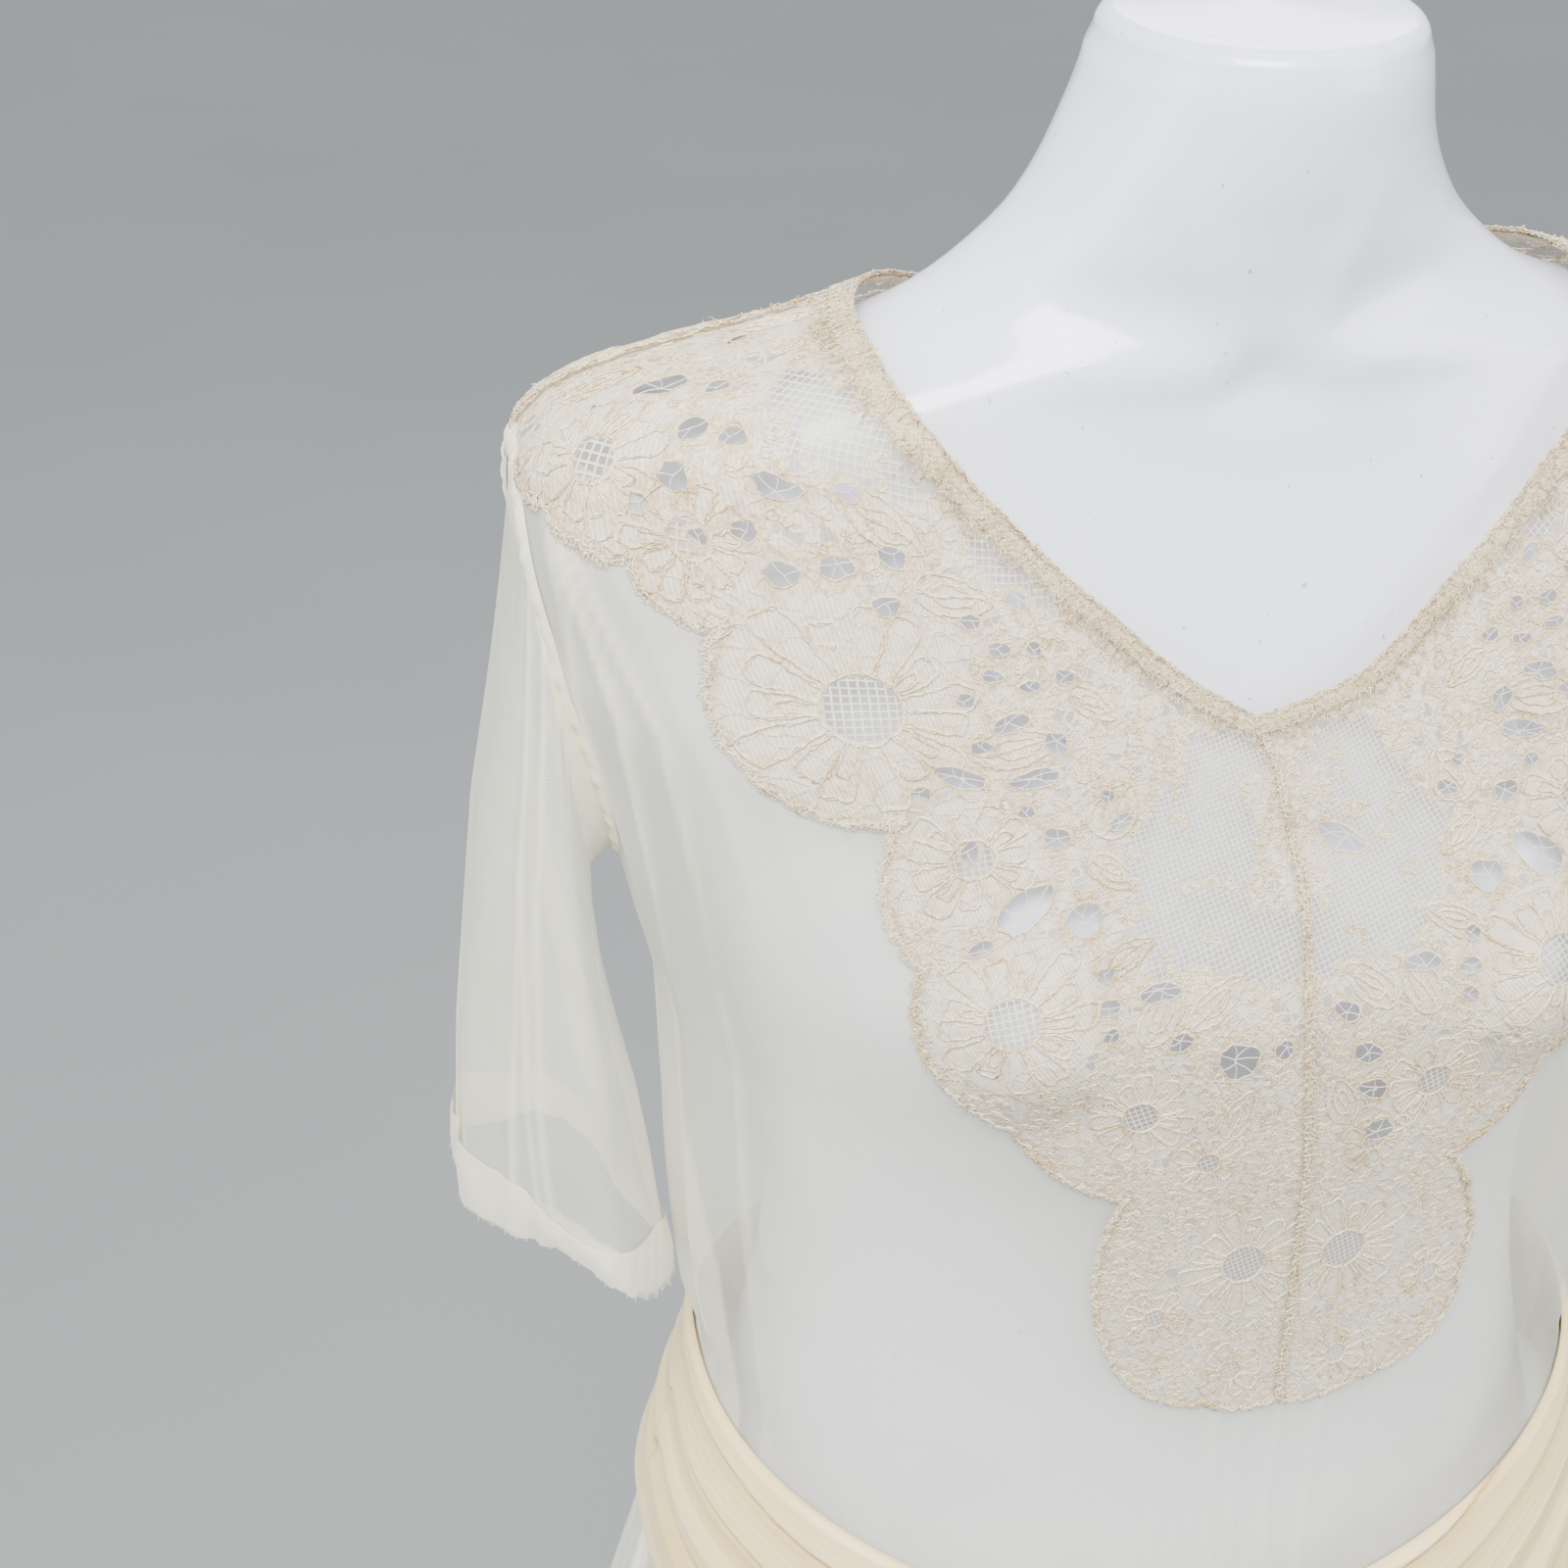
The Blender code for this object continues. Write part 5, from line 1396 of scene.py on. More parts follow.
def build_bodice(finish):
    for name, node, outline, step in zip(("chiffon_front", "chiffon_back"), ("bodice_front", "bodice_back"),
                                         bodice_outlines(), (1.8, 2.6)):
        built, flat, _ = cut_grid(outline, [], step)
        points = cloth(flat[:, 0], flat[:, 1], 0.5, folds_of_bodice)
        piece = mesh_piece(name, built, points, flat, {"double": doubled_share(flat)})
        show(piece, finish, [node])


def front_outline(side):
    """Outline of one half of the front lace, and its scalloped edge and neckline by themselves."""
    gap = SEAM_GAP / 2
    if side < 0:
        edge = scallops(SCALLOPS_FRONT)
        neck = along(NECKLINE_FRONT, 3)
    else:
        places = other_half([row[:2] for row in SCALLOPS_FRONT])
        edge = scallops([place + row[2:] for place, row in zip(places, SCALLOPS_FRONT)], -1)
        neck = along([(-x, y) for x, y in NECKLINE_FRONT[:-1]] + [NECKLINE_FRONT[-1]], 3)
    seam = [(x + side * gap, y) for x, y in along(FRONT_SEAM, 3)]
    shoulder = [(side * (SIDE - gap), y) for _, y in along(((0, 1399), (0, 1338)), 4)]
    whole = edge[:-1] + list(reversed(seam))[:-1] + list(reversed(neck))[:-1] + shoulder
    return whole, edge, neck


def build_front_lace(finish, cord_finish, thin_finish):
    gaps_left = [oval(*row) for row in GAPS_LEFT]
    gaps_right = [oval(*other_half([row[:2]])[0], *row[2:4], -row[4]) for row in GAPS_LEFT
                  if -row[0] > MIRRORED_BEYOND]
    gaps_right += [oval(*row) for row in GAPS_RIGHT_OF_SEAM]
    for side, word, gaps in ((-1, "left", gaps_left), (1, "right", gaps_right)):
        outline, edge, _ = front_outline(side)
        flowers, leaves, nets = FLOWERS, LEAVES, NET_PATCHES
        if side > 0:
            flowers = [other_half([row[:2]])[0] + row[2:] for row in FLOWERS]
            leaves = [other_half([row[:2]])[0] + row[2:4] + (180 - row[4],) for row in LEAVES]
            nets = [other_half([row[:2]])[0] + row[2:] for row in NET_PATCHES]
        lace_half(f"lace_{word}", f"lace_front_{word}", outline, edge, gaps, flowers, leaves, nets,
                  finish, cord_finish, thin_finish, side)


def lace_half(name, node, outline, edge, gaps, flowers, leaves, nets, finish, cord_finish, thin_finish, side,
              step=LACE_STEP, strands=2, apart=FILLING_APART):
    """One lace panel with its outline threads, its rim, its tiny loops and the threads across its gaps."""
    drawn = [line for row in flowers for line in flower_lines(*row)]
    drawn += [line for row in leaves for line in leaf_lines(*row)]
    drawn = kept_inside(drawn, outline, gaps, 1.4 * step)
    small = filling(outline, gaps, flowers, leaves, nets, apart, 11)
    rims = [along(gap + gap[:1], 1.3 * step) for gap in gaps]
    panel = lace_panel(name, outline, gaps, step, drawn + small, flowers, leaves, nets, [node], finish)
    main = uneven(drawn, 0.30, 3) + uneven(drawn * (strands - 1), 0.24, 12) + uneven([along(edge, 1.2 * step)] * (2 + strands), 0.62, 4)
    fine = uneven(small, 0.16, 6) + uneven(rims, 0.16, 7)
    picots = picot_lines(edge if side < 0 else edge[::-1], 1.7 * step, 1.4, 8)
    above = OVER_CHIFFON + 0.2
    outlines = threads(name + "_outlines", main, above, 0.25, loose=0.3)
    stems = threads(name + "_stems", fine + picots, above - 0.1, 0.19, loose=0.2)
    brides = threads(name + "_brides", bride_lines(gaps, 9), OVER_CHIFFON, 0.13)
    show(outlines, cord_finish)
    show(stems, cord_finish)
    show(brides, thin_finish)


def build_back_lace(finish, cord_finish, thin_finish):
    gap = SEAM_GAP / 2
    shoulder = [(SIDE + gap, y) for _, y in along(((0, 1338), (0, 1399)), 4)]
    neck = along(NECKLINE_BACK, 3)
    neck[0] = shoulder[-1]
    edge = scallops(SCALLOPS_BACK)
    half = list(reversed(edge)) + shoulder[:-1] + neck
    outline = half[:-1] + mirrored(half, BACK)[:-1]
    whole_edge = edge[:-1] + mirrored(edge, BACK)
    gaps = []
    for start, end, count, long, wide in GAP_BACK_ROWS:
        for number in range(count):
            part = (number + 0.5) / count
            place = 228 + (BACK - 228) * part
            rise = start + (end - start) * part**0.8
            gaps += [oval(BACK + sign * (BACK - place), rise, long, wide, -20 * sign) for sign in (-1, 1)]
    flowers = list(FLOWERS_BACK) + [(2 * BACK - row[0],) + row[1:] for row in FLOWERS_BACK[:-1]]
    leaves = list(LEAVES_BACK) + [(2 * BACK - row[0],) + row[1:4] + (180 - row[4],) for row in LEAVES_BACK]
    nets = list(NET_BACK) + [(2 * BACK - row[0],) + row[1:] for row in NET_BACK[1:]]
    lace_half("lace_rear", "lace_back", outline, whole_edge, gaps, flowers, leaves, nets,
              finish, cord_finish, thin_finish, -1, step=1.9, strands=1, apart=12.0)


def build_neck_band(finish, cord_finish):
    """The gathered band round the neck, in three stretches with a seam at the V and at each shoulder."""
    left = along(NECKLINE_FRONT, 4)
    right = along([(-x, y) for x, y in NECKLINE_FRONT[:-1]] + [NECKLINE_FRONT[-1]], 4)
    half = along(NECKLINE_BACK, 4)
    rear = half[:-1] + mirrored(half, BACK)
    for name, line, side, columns in (("left", left, 1, 330), ("right", right, -1, 330), ("back", rear, 1, 360)):
        line = np.array(line)
        run = np.concatenate([[0], np.cumsum(np.hypot(*np.diff(line, axis=0).T))])
        down = np.gradient(line, axis=0)
        down /= np.hypot(*down.T)[:, None]
        down = np.column_stack([down[:, 1], -down[:, 0]]) * side
        down[np.hypot(*(line - (-11, 1338)).T) < 6] = (0, -1)

        def place(u, v, line=line, run=run, down=down):
            s = u * run[-1]
            at = np.column_stack([np.interp(s, run, line[:, i]) for i in (0, 1)])
            way = np.column_stack([np.interp(s, run, down[:, i]) for i in (0, 1)])
            wide = BAND_WIDE * (0.94 + 0.06 * np.sin(s / 5.0) + 0.05 * np.sin(s / 1.7) + 0.03 * np.sin(s / 0.7))
            at = at + way * (v * wide)[:, None] - way * 0.4
            ridge = band_ridge(s, v)
            out = 2.3 + 0.9 * np.sin(math.pi * v) ** 0.6 + BAND_PLEAT * (ridge - 0.5)
            return cloth(at[:, 0], at[:, 1], out, no_folds), np.column_stack([s, v * 9])

        def paint(u, v, run=run):
            # ridge also sets the painted shade in the creases of the gathers
            return {"ridge": band_ridge(u * run[-1], v), "down": v}

        band = grid_sheet(f"neck_band_net_{name}", columns, 12, place, paint)
        show(band, finish, [f"neck_band_{name}"])
        rim = cloth(line[:, 0], line[:, 1], 3.0 + 0 * run, no_folds)
        long = float(np.hypot.reduce(np.diff(rim, axis=0), axis=1).sum()) / 1000
        rows = []
        for share, seed in ((0.0, 1), (0.05, 2), (0.1, 6), (0.35, 7), (0.7, 3)):
            s = np.arange(0, run[-1], 1.0)
            at = np.column_stack([np.interp(s, run, line[:, i]) for i in (0, 1)])
            way = np.column_stack([np.interp(s, run, down[:, i]) for i in (0, 1)])
            rows += uneven([at + way * BAND_WIDE * share], 0.55, seed)
        rng = np.random.default_rng(13)
        for start in np.arange(0, run[-1], 0.9 if name != "back" else 2.4):
            s = start + np.cumsum(rng.normal(0.25, 0.7, 6))
            down_by = np.clip(rng.uniform(0, 0.9) + np.cumsum(rng.normal(0.05, 0.14, 6)), -0.06, 1.12)
            at = np.column_stack([np.interp(s, run, line[:, i]) for i in (0, 1)])
            way = np.column_stack([np.interp(s, run, down[:, i]) for i in (0, 1)])
            rows.append(at + way * (BAND_WIDE * down_by)[:, None])
        edging = threads(f"neck_band_threads_{name}", rows, 2.9, 0.20, loose=0.7)
        show(edging, cord_finish)


def band_ridge(s, v):
    """0 in the creases of the gathers and 1 on their ridges, which run across the band at a slant."""
    slant = s + 4.2 * v + 1.1 * np.sin(s / 6.5) + 0.5 * np.sin(3.0 * v + s / 3.1)
    strong = 0.35 + 0.65 * (0.5 + 0.5 * np.sin(s / 17.0 + 1.1 * np.sin(s / 7.3)))
    return 0.5 + 0.5 * strong * np.sin(2 * math.pi * slant / 2.2 + 1.3 * np.sin(s / 2.3))


def build_seams(cord_finish):
    """The stitched threads of the centre seam and of both shoulder seams, with frayed ends on the shoulders."""
    rng = np.random.default_rng(21)
    lines = []
    seam = along(FRONT_SEAM, 1.1)
    for shift in (-0.9, -0.2, 0.5, 1.1):
        lines += uneven([[(x + shift, y) for x, y in seam]], 0.38, int(10 * shift) + 40)
    for x, y in seam[::2]:
        tilt = rng.uniform(-1.2, 1.2)
        lines.append([(x - 1.7, y - tilt), (x, y + 0.3), (x + 1.8, y + tilt)])
    stitches = threads("centre_seam_threads", lines, 2.4, 0.30, loose=0.5)
    show(stitches, cord_finish)
    lines = []
    for side, word in ((-1, "left"), (1, "right")):
        lines = []
        ridge = along(((side * SIDE, 1338), (side * SIDE, 1399)), 1.2)
        for shift in (-1.4, -0.5, 0.4, 1.3):
            lines += uneven([[(x + shift, y) for x, y in ridge]], 0.5, int(10 * shift) + 60)
        show(threads(f"shoulder_seam_threads_{word}", lines, 2.3, 0.34, loose=1.2), cord_finish)
        runs = []
        for x, y in ridge[::1]:
            start = cloth([x], [y], [2.6], no_folds)[0]
            for _ in range(2):
                way = np.array([rng.normal(0, 0.8), rng.normal(0, 0.8), rng.uniform(0.2, 1.0)])
                bend = start + way * rng.uniform(0.6, 1.4)
                tip = bend + np.array([rng.normal(0, 1.0), rng.normal(0, 1.0), rng.uniform(-0.3, 0.8)])
                runs.append(np.array([start, bend, tip]) * MILLIMETRE)
        show(cords(f"shoulder_frays_{word}", runs, 0.14), cord_finish)


def sleeve_ring(grown):
    """The sleeve's ring at a share of its way down: middle, half across and half deep."""
    rows = np.array(SLEEVE_RINGS, float)
    at = grown * (len(rows) - 1)
    size = [np.interp(at, np.arange(len(rows)), rows[:, column]) for column in range(5)]
    outer_x, outer_z, inner_x, inner_z, half_deep = size
    middle = np.stack([(outer_x + inner_x) / 2, MID_Y * (1 - grown), (outer_z + inner_z) / 2], -1)
    half = np.stack([(outer_x - inner_x) / 2, 0 * grown, (outer_z - inner_z) / 2], -1)
    return middle, half, half_deep


def sleeve_points(side, grown, angle, move):
    """Points of the sleeve: grown runs from the shoulder to the hem, the angle round it from its outer side."""
    middle, half, half_deep = sleeve_ring(grown)
    wave = SLEEVE_WAVE * grown * np.cos(SLEEVE_WAVES * angle + 1.2)
    degrees = np.degrees(angle)
    wave = wave + 0.7 * np.sin(31 * angle + 2 * np.sin(3 * angle)) * np.exp(-grown / 0.10) * step_between(grown, 0, 0.02)
    for place, half_wide, high, low in SLEEVE_FOLDS:
        off = (degrees - place + 180) % 360 - 180
        depth = high + (low - high) * grown
        wander = off + 5 * np.sin(3.1 * grown + place)
        wave = wave + 0.55 * depth * np.exp(-((wander / half_wide) ** 2))
        wave = wave - 0.30 * depth * np.exp(-(((wander - 1.7 * half_wide) / half_wide) ** 2))
    across = np.stack([SLEEVE_SLANT * grown, half_deep, 0 * grown], -1)
    arm = half * np.cos(angle)[..., None] + across * np.sin(angle)[..., None]
    point = middle + arm * (1 + (wave + move) / np.linalg.norm(arm, axis=-1))[..., None]
    point[..., 2] -= HEM_WAVE * grown**3 * np.sin(2 * angle)
    return point * (side, 1, 1)


def armhole_points(side, angle, out):
    around = side * (SIDE + (ARMHOLE_HALF_DEEP - 1.4) * np.sin(angle))
    rise = ARMHOLE_RISE + (ARMHOLE_HALF_TALL - 1.4) * np.cos(angle)
    return cloth(around, rise, out, no_folds)


def cuff_edge(angle):
    """How far the cuff's lower edge rises or dips round the sleeve, with a high arch at the front."""
    degrees = (np.degrees(angle) + 180) % 360 - 180
    rise = 2.0 * np.sin(3 * angle + 0.8) + 0.7 * np.sin(23 * angle) + 0.4 * np.sin(61 * angle)
    for place, half_wide, up in ((-66, 24, 8.0), (-16, 18, -2.0), (-132, 26, -2.5), (104, 30, 5.0)):
        rise = rise + up * np.exp(-(((degrees - place) / half_wide) ** 2))
    return rise


def build_sleeve(side, word, finish, cuff_material, cord_finish):
    head = 0.035
    last = np.array(SLEEVE_RINGS)[-2:]
    long = math.dist(last[0][:2], last[1][:2]) * 7.0

    def place(u, v):
        angle = 2 * math.pi * u
        grown = np.clip((v - head) / (1 - head), 0, 1) * (1 - cuff_edge(angle) / long)
        body = sleeve_points(side, grown, angle, -0.5)
        start = armhole_points(side, angle, 0.6)
        share = np.clip(v / head, 0, 1)[:, None]
        return start * (1 - share) + body * share, np.stack([u * 330, 1362 - v * 250], -1)

    def paint(u, v):
        degrees = np.degrees(2 * math.pi * u)
        share = np.zeros_like(u)
        for place_at, half_wide, _, _ in SLEEVE_FOLDS:
            off = (degrees - place_at + 180) % 360 - 180 + 5 * np.sin(3.1 * v + place_at)
            if half_wide <= NARROW_FOLD:
                share = np.maximum(share, 0.6 * np.exp(-((off / (0.5 * half_wide)) ** 2)))
        strip = np.clip((v - 0.28) / 0.68, 0, 1)
        for facing in (-1, 1):
            off = (degrees - facing * (118 + 45 * strip) + 180) % 360 - 180
            half = 1.0 + 13.0 * np.sin(math.pi * strip) ** 0.7
            share = np.maximum(share, 0.55 * step_between(-np.abs(off), -half - 1.5, -half + 1.5) * (strip > 0))
        hem = step_between(v, 0.905, 0.915) * 0.6
        head_seam = step_between(-v, -0.05, -0.03)
        return {"double": np.maximum(np.maximum(share, hem), head_seam)}

    sleeve = grid_sheet(f"chiffon_sleeve_{word}", 170, 70, place, paint, joined=True)
    show(sleeve, finish, [f"sleeve_{word}"])

    def turned_up(u, v):
        angle = 2 * math.pi * u
        wave = CUFF_WAVE * np.cos(3 * angle + 0.6) + 1.2 * np.sin(7 * angle)
        up = (CUFF_TALL + wave) * v + cuff_edge(angle) * (1 - v)
        grown = 1 - up / long
        crease = 0.5 * np.sin(26 * angle + 5 * v) + 0.5 * np.sin(11 * angle - 3 * v)
        move = 1.1 + 0.5 * crease * np.sin(math.pi * v) + 0.9 * np.sin(math.pi * v)
        return sleeve_points(side, np.minimum(grown, 1.02), angle, move), np.stack([u * 330, v * 24], -1)

    cuff = grid_sheet(f"chiffon_cuff_{word}", 240, 14, turned_up, lambda u, v: {"double": 0.62 + 0 * u}, joined=True)
    show(cuff, cuff_material, [f"cuff_{word}"])
    build_armhole_seam(side, word, cuff_material)
    rng = np.random.default_rng(31)
    runs = []
    for angle in np.arange(-math.pi, math.pi, 0.05):
        worn = -2.95 < angle < -1.75
        for _ in range(3 if worn else 1):
            at = np.array([angle + rng.uniform(-0.02, 0.02)])
            start = sleeve_points(side, 1 - cuff_edge(at) / long, at, np.array([1.2]))[0]
            drop = np.array([rng.normal(0, 0.5), rng.normal(0, 0.5), -rng.uniform(0.4, 2.4 if worn else 1.0)])
            runs.append(np.array([start + (0, 0, 1.5), start + drop * 0.5, start + drop]) * MILLIMETRE)
    show(cords(f"cuff_frays_{word}", runs, 0.11), cord_finish)


def build_armhole_seam(side, word, finish):
    """The turned-in seam round the armhole, a narrow doubled strip that stands up a little in uneven gathers."""
    def place(u, v):
        angle = 2 * math.pi * u
        slide = 5.5 * (v - 0.5)
        around = side * (SIDE + (ARMHOLE_HALF_DEEP + slide) * np.sin(angle))
        rise = ARMHOLE_RISE + (ARMHOLE_HALF_TALL + slide) * np.cos(angle)
        out = 0.9 + 1.3 * np.sin(math.pi * v) * (1 + 0.25 * np.sin(37 * angle) + 0.2 * np.sin(61 * angle))
        points = cloth(around, rise, out, no_folds)
        return points, np.stack([u * 230, v * 6], -1)

    seam = grid_sheet(f"armhole_seam_{word}", 260, 6, place, lambda u, v: {"double": 0.95 + 0 * u}, joined=True)
    show(seam, finish)


def build_skirt(finish):
    for name, start, end in (("front", -SIDE, SIDE), ("back", SIDE, 2 * BACK - SIDE)):
        def place(u, v, start=start, end=end):
            around = start + 0.15 + (end - start - 0.3) * u
            top = waist_seam(around) - 0.2
            rise = HEM + (top - HEM) * v
            hem = 1.2 * np.sin(around / 9.0) * (1 - v)
            return cloth(around, rise + hem, 0.5, folds_of_skirt), np.stack([around, rise], -1)

        def paint(u, v, start=start, end=end):
            around = start + (end - start) * u
            seam = np.minimum(u, 1 - u) * (end - start)
            hem = step_between(-v, -0.026, -0.022)
            gathers = step_between(v, 0.86, 1.0) * (0.5 + 0.5 * np.sin(around * 1.7 + 2 * np.sin(around * 0.31)))
            return {"double": np.maximum(np.maximum(hem, step_between(-seam, -5, -3.5)), gathers * 0.7)}

        half = grid_sheet(f"chiffon_skirt_{name}", 260, 60, place, paint)
        show(half, finish, [f"skirt_{name}"])


def sash_out(around, part):
    """How far the sash stands off the dress, and how high each place lies on its own fold.

    The folds lie like tiles, each over the one below, closer together towards the upper edge.
    """
    around = wrapped(around)
    turn = np.radians(around / PER_DEGREE)
    drift = 0.9 * np.cos(turn) + 0.25 * np.sin(3 * turn)
    wander = 0.05 * np.sin(around / 23.0) + 0.03 * np.sin(around / 9.0 + 5 * part)
    phase = SASH_FOLDS * (0.45 * part + 0.55 * part**2.2) + drift + wander
    lap = phase % 1.0
    pleat = step_between(lap, 0.0, 0.09) * (1 - 0.75 * lap**1.3) * (0.75 + 0.25 * np.sin(3.1 * np.floor(phase)))
    pleat = np.where(lap > 0.93, pleat * (1 - step_between(lap, 0.93, 1.0)), pleat)
    ends = np.sin(math.pi * np.clip(part, 0, 1)) ** 0.5
    soft = 0.9 * np.sin(2 * math.pi * (1.6 * phase + 0.1)) * step_between(-part, -0.75, -0.35)
    fine = 0.10 * np.sin(2 * math.pi * (phase * 5.3 + 0.4 * np.sin(around / 40.0)))
    base = SASH_STANDS_OFF + SASH_OVER_GATHERS * (1 - part) + 0.8
    return base + (SASH_FOLD * 0.85 * pleat + soft + fine) * (0.25 + 0.75 * ends), lap


# How far off the body the sash's upper edge rests on the chiffon
TUCKED_OUT = 1.5


def build_sash(finish):
    stretches = (
        ("sash_satin_front", "sash_front", -SIDE - 2.5, SIDE + 2.5, 250),
        ("sash_satin_back_right", "sash_back_right", SIDE, BACK - 4, 110),
        ("sash_satin_back_left", "sash_back_left", BACK + 4, 2 * BACK - SIDE, 110),
    )
    for name, node, start, end, columns in stretches:
        def place(u, v, start=start, end=end, node=node):
            around = start + (end - start) * u
            out, _ = sash_out(around, v)
            rim = np.minimum(v, 1 - v)
            out = out - 1.5 * (1 - step_between(rim, 0, 0.02))
            if node == "sash_front":
                out = out + 0.35 * step_between(np.abs(around), SIDE - 5, SIDE - 1)
            tucked = step_between(v, 0.955, 1.0)
            out = out * (1 - tucked) + np.minimum(out, TUCKED_OUT) * tucked
            rise = sash_top(around) - SASH_WIDE * (1 - v)
            return cloth(around, rise, out, no_folds), np.stack([around, rise], -1)

        def paint(u, v, start=start, end=end):
            around = start + (end - start) * u
            _, lap = sash_out(around, v)
            # Painted shade: ochre in the crease where each fold meets the next, growing up each fold to where the one
            # above lies over it, and a little along the tucked upper edge
            crease_shade = 1 - step_between(np.minimum(lap, 1 - lap), 0.0, 0.085)
            rim = 1 - step_between(1 - v, 0.0, 0.05)
            return {"deep": np.maximum(np.maximum(0.95 * crease_shade, 0.2 * rim), 0.42 * lap**2)}

        piece = grid_sheet(name, columns, 90, place, paint)
        show(piece, finish, [node])
        wide = (end - start) / 1000
        round(wide * 1.02, 3)
        round(wide * 1.02 * 0.11, 4)


def build_knot(finish):
    over_sash = SASH_STANDS_OFF + SASH_OVER_GATHERS + SASH_FOLD + SATIN - KNOT_SUNK
    middle = cloth([BACK], [waist_seam(BACK)], [over_sash], no_folds)[0]
    half = np.array([21.0, 15.0, 25.0])

    def place(u, v):
        turn, tilt = 2 * math.pi * u, math.pi * (v - 0.5)
        x, y, z = np.cos(turn) * np.cos(tilt), np.sin(turn) * np.cos(tilt), np.sin(tilt)
        wrap = 0.06 * np.cos(7 * turn + 2.2 * z) + 0.035 * np.cos(15 * turn - 3 * z)
        waist = 1 - 0.10 * np.exp(-((z / 0.3) ** 2))
        grow = (0.95 + wrap * np.cos(tilt)) * waist
        spot = np.stack([x, y, z], -1) * grow[:, None] * half + middle + (0, half[1], 0)
        return spot, np.stack([u * 120, v * 50], -1)

    def paint(u, v):
        z = np.sin(math.pi * (v - 0.5))
        # Painted shade in the troughs of the knot's wrapped folds
        return {"deep": 0.6 * step_between(-np.cos(14 * math.pi * u + 2.2 * z), 0.5, 1.0)}

    knot = grid_sheet("sash_satin_knot", 110, 70, place, paint, joined=True)
    show(knot, finish, ["sash_knot"])
    for side, word in ((-1, "left"), (1, "right")):
        build_tail(side, word, middle[2] - half[2] - TAIL_BELOW_KNOT, finish)


def build_tail(side, word, top, finish):
    long = TAIL_LONG * (1.0 if side < 0 else 0.86)

    def place(u, v):
        part = 1 - v
        across = 2 * u - 1
        slanted = part + 0.035 * across * side * part
        rise = top - long * slanted
        half = TAIL_TOP_HALF + (TAIL_END_HALF - TAIL_TOP_HALF) * part**0.8
        around = BACK + side * (TAIL_TOP_HALF + 1.5 + 52 * part**0.9) + half * across
        ripple = 3.0 * (0.5 + 0.5 * np.cos(3 * math.pi * across + side + 2 * part)) * (0.5 + 0.5 * part)
        fine = 0.35 * np.sin(9 * math.pi * across + 3 * np.sin(4 * part)) * (1 - 0.6 * part)
        out = 11.5 * (1 - part) ** 2 + 3.0 + fold_depth_of_skirt(rise) + ripple + fine
        return cloth(around, rise, out, no_folds), np.stack([around, rise], -1)

    def paint(u, v):
        across = 2 * u - 1
        ripple = 0.5 + 0.5 * np.cos(3 * math.pi * across + side + 2 * (1 - v))
        # Painted shade in the troughs of the tail's ripples, strongest near the knot
        return {"deep": (1 - step_between(ripple, 0.0, 0.3)) * 0.5 * v}

    tail = grid_sheet(f"sash_satin_tail_{word}", 60, 150, place, paint)
    show(tail, finish, [f"sash_tail_{word}"])


def build_room():
    """A plain pale floor, soft studio light and the photograph's camera."""
    built = bmesh.new()
    bmesh.ops.create_grid(built, x_segments=1, y_segments=1, size=14.0)
    mesh = bpy.data.meshes.new("floor")
    built.to_mesh(mesh)
    built.free()
    floor = bpy.data.objects.new("floor", mesh)
    bpy.context.scene.collection.objects.link(floor)
    floor.data.materials.append(floor_finish().material)
    for name, place, aim, size, power, colour in LIGHTS:
        light = bpy.data.lights.new(name, "AREA")
        light.shape = "RECTANGLE"
        light.size, light.size_y = size
        light.energy = power
        light.color = colour
        lamp = bpy.data.objects.new(name, light)
        lamp.location = place
        lamp.rotation_euler = (Vector(aim) - Vector(place)).to_track_quat("-Z", "Y").to_euler()
        bpy.context.scene.collection.objects.link(lamp)
    world = bpy.data.worlds.new("studio")
    world.use_nodes = True
    world.node_tree.nodes["Background"].inputs["Color"].default_value = (0.93, 0.96, 1.0, 1.0)
    world.node_tree.nodes["Background"].inputs["Strength"].default_value = WORLD_LIGHT
    bpy.context.scene.world = world
    place_camera()


WORLD_LIGHT = 1.3

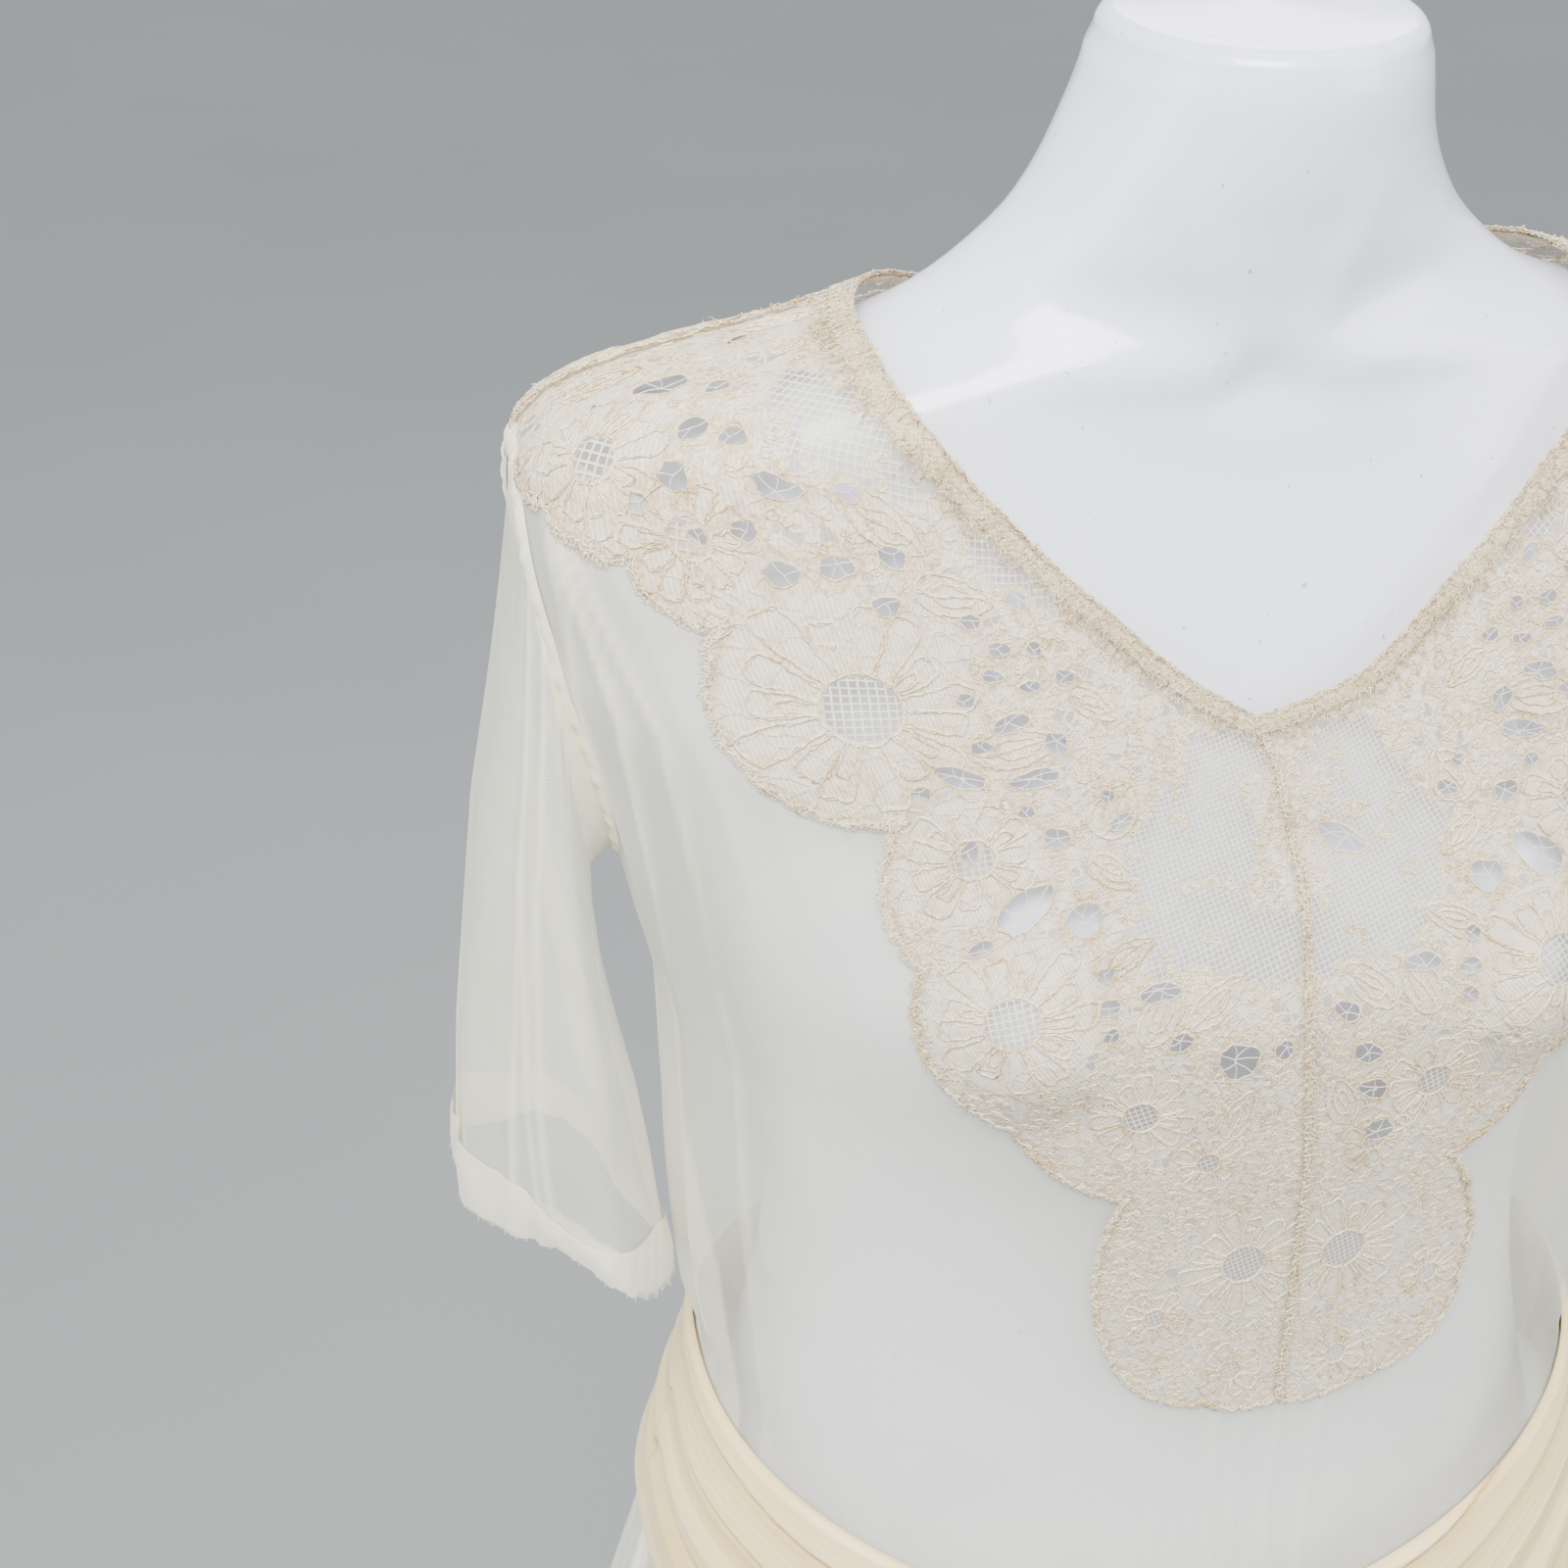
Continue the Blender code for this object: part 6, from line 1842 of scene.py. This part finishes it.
# Lights: name, place and aim in metres, size, watts, colour
LIGHTS = (
    ("overhead", (-0.7, -1.3, 3.1), (0.0, 0.0, 1.3), (1.3, 1.0), 122.0, (1.0, 0.99, 0.97)),
    ("window", (-2.2, -0.6, 2.2), (0.0, 0.0, 1.2), (1.2, 1.8), 26.0, (0.92, 0.96, 1.0)),
    ("fill", (1.9, -1.6, 1.9), (0.0, 0.0, 1.2), (1.6, 1.6), 42.0, (1.0, 0.98, 0.95)),
    ("rear", (1.0, 2.0, 2.8), (0.0, 0.0, 1.2), (1.4, 1.4), 34.0, (1.0, 1.0, 1.0)),
)


def place_camera():
    data = bpy.data.cameras.new("camera")
    data.sensor_width = SENSOR
    data.lens = FOCAL_PIXELS * SENSOR / FRAME_PIXELS
    data.clip_start, data.clip_end = 0.05, 60.0
    down, yaw, roll = (math.radians(value) for value in (CAMERA_DOWN, CAMERA_YAW, CAMERA_ROLL))
    forward = Vector((math.sin(yaw) * math.cos(down), math.cos(yaw) * math.cos(down), -math.sin(down)))
    right = Vector((math.cos(yaw), -math.sin(yaw), 0.0))
    up = right.cross(forward)
    tilted_right = right * math.cos(roll) + up * math.sin(roll)
    tilted_up = up * math.cos(roll) - right * math.sin(roll)
    camera = bpy.data.objects.new("camera", data)
    turn = Matrix((tilted_right, tilted_up, -forward)).transposed().to_4x4()
    camera.matrix_world = Matrix.Translation(Vector(CAMERA_AT) * MILLIMETRE) @ turn
    bpy.context.scene.collection.objects.link(camera)
    bpy.context.scene.camera = camera


def main():
    build_room()
    build_form(shell_finish())
    for node, finish in (("stand_pole", metal_finish()), ("stand_base", paint_finish())):
        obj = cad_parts[node]
        obj.data.materials.clear()
        obj.data.materials.append(finish.material)
    chiffon, satin = chiffon_finish(), satin_finish()
    cord = thread_finish("outline_thread", srgb(246, 232, 198), srgb(202, 168, 108))
    tan = thread_finish("seam_thread", srgb(226, 208, 168), srgb(176, 142, 92), 0.45)
    thin = thread_finish("fine_thread", srgb(240, 238, 230), srgb(226, 216, 192), 0.5)
    build_bodice(chiffon)
    build_front_lace(lace_finish(), cord, thin)
    build_back_lace(lace_finish(), cord, thin)
    build_neck_band(band_finish(), tan)
    build_seams(tan)
    for side, word in ((-1, "left"), (1, "right")):
        build_sleeve(side, word, chiffon, chiffon, thin)
    build_skirt(chiffon)
    build_sash(satin)
    build_knot(satin)


main()
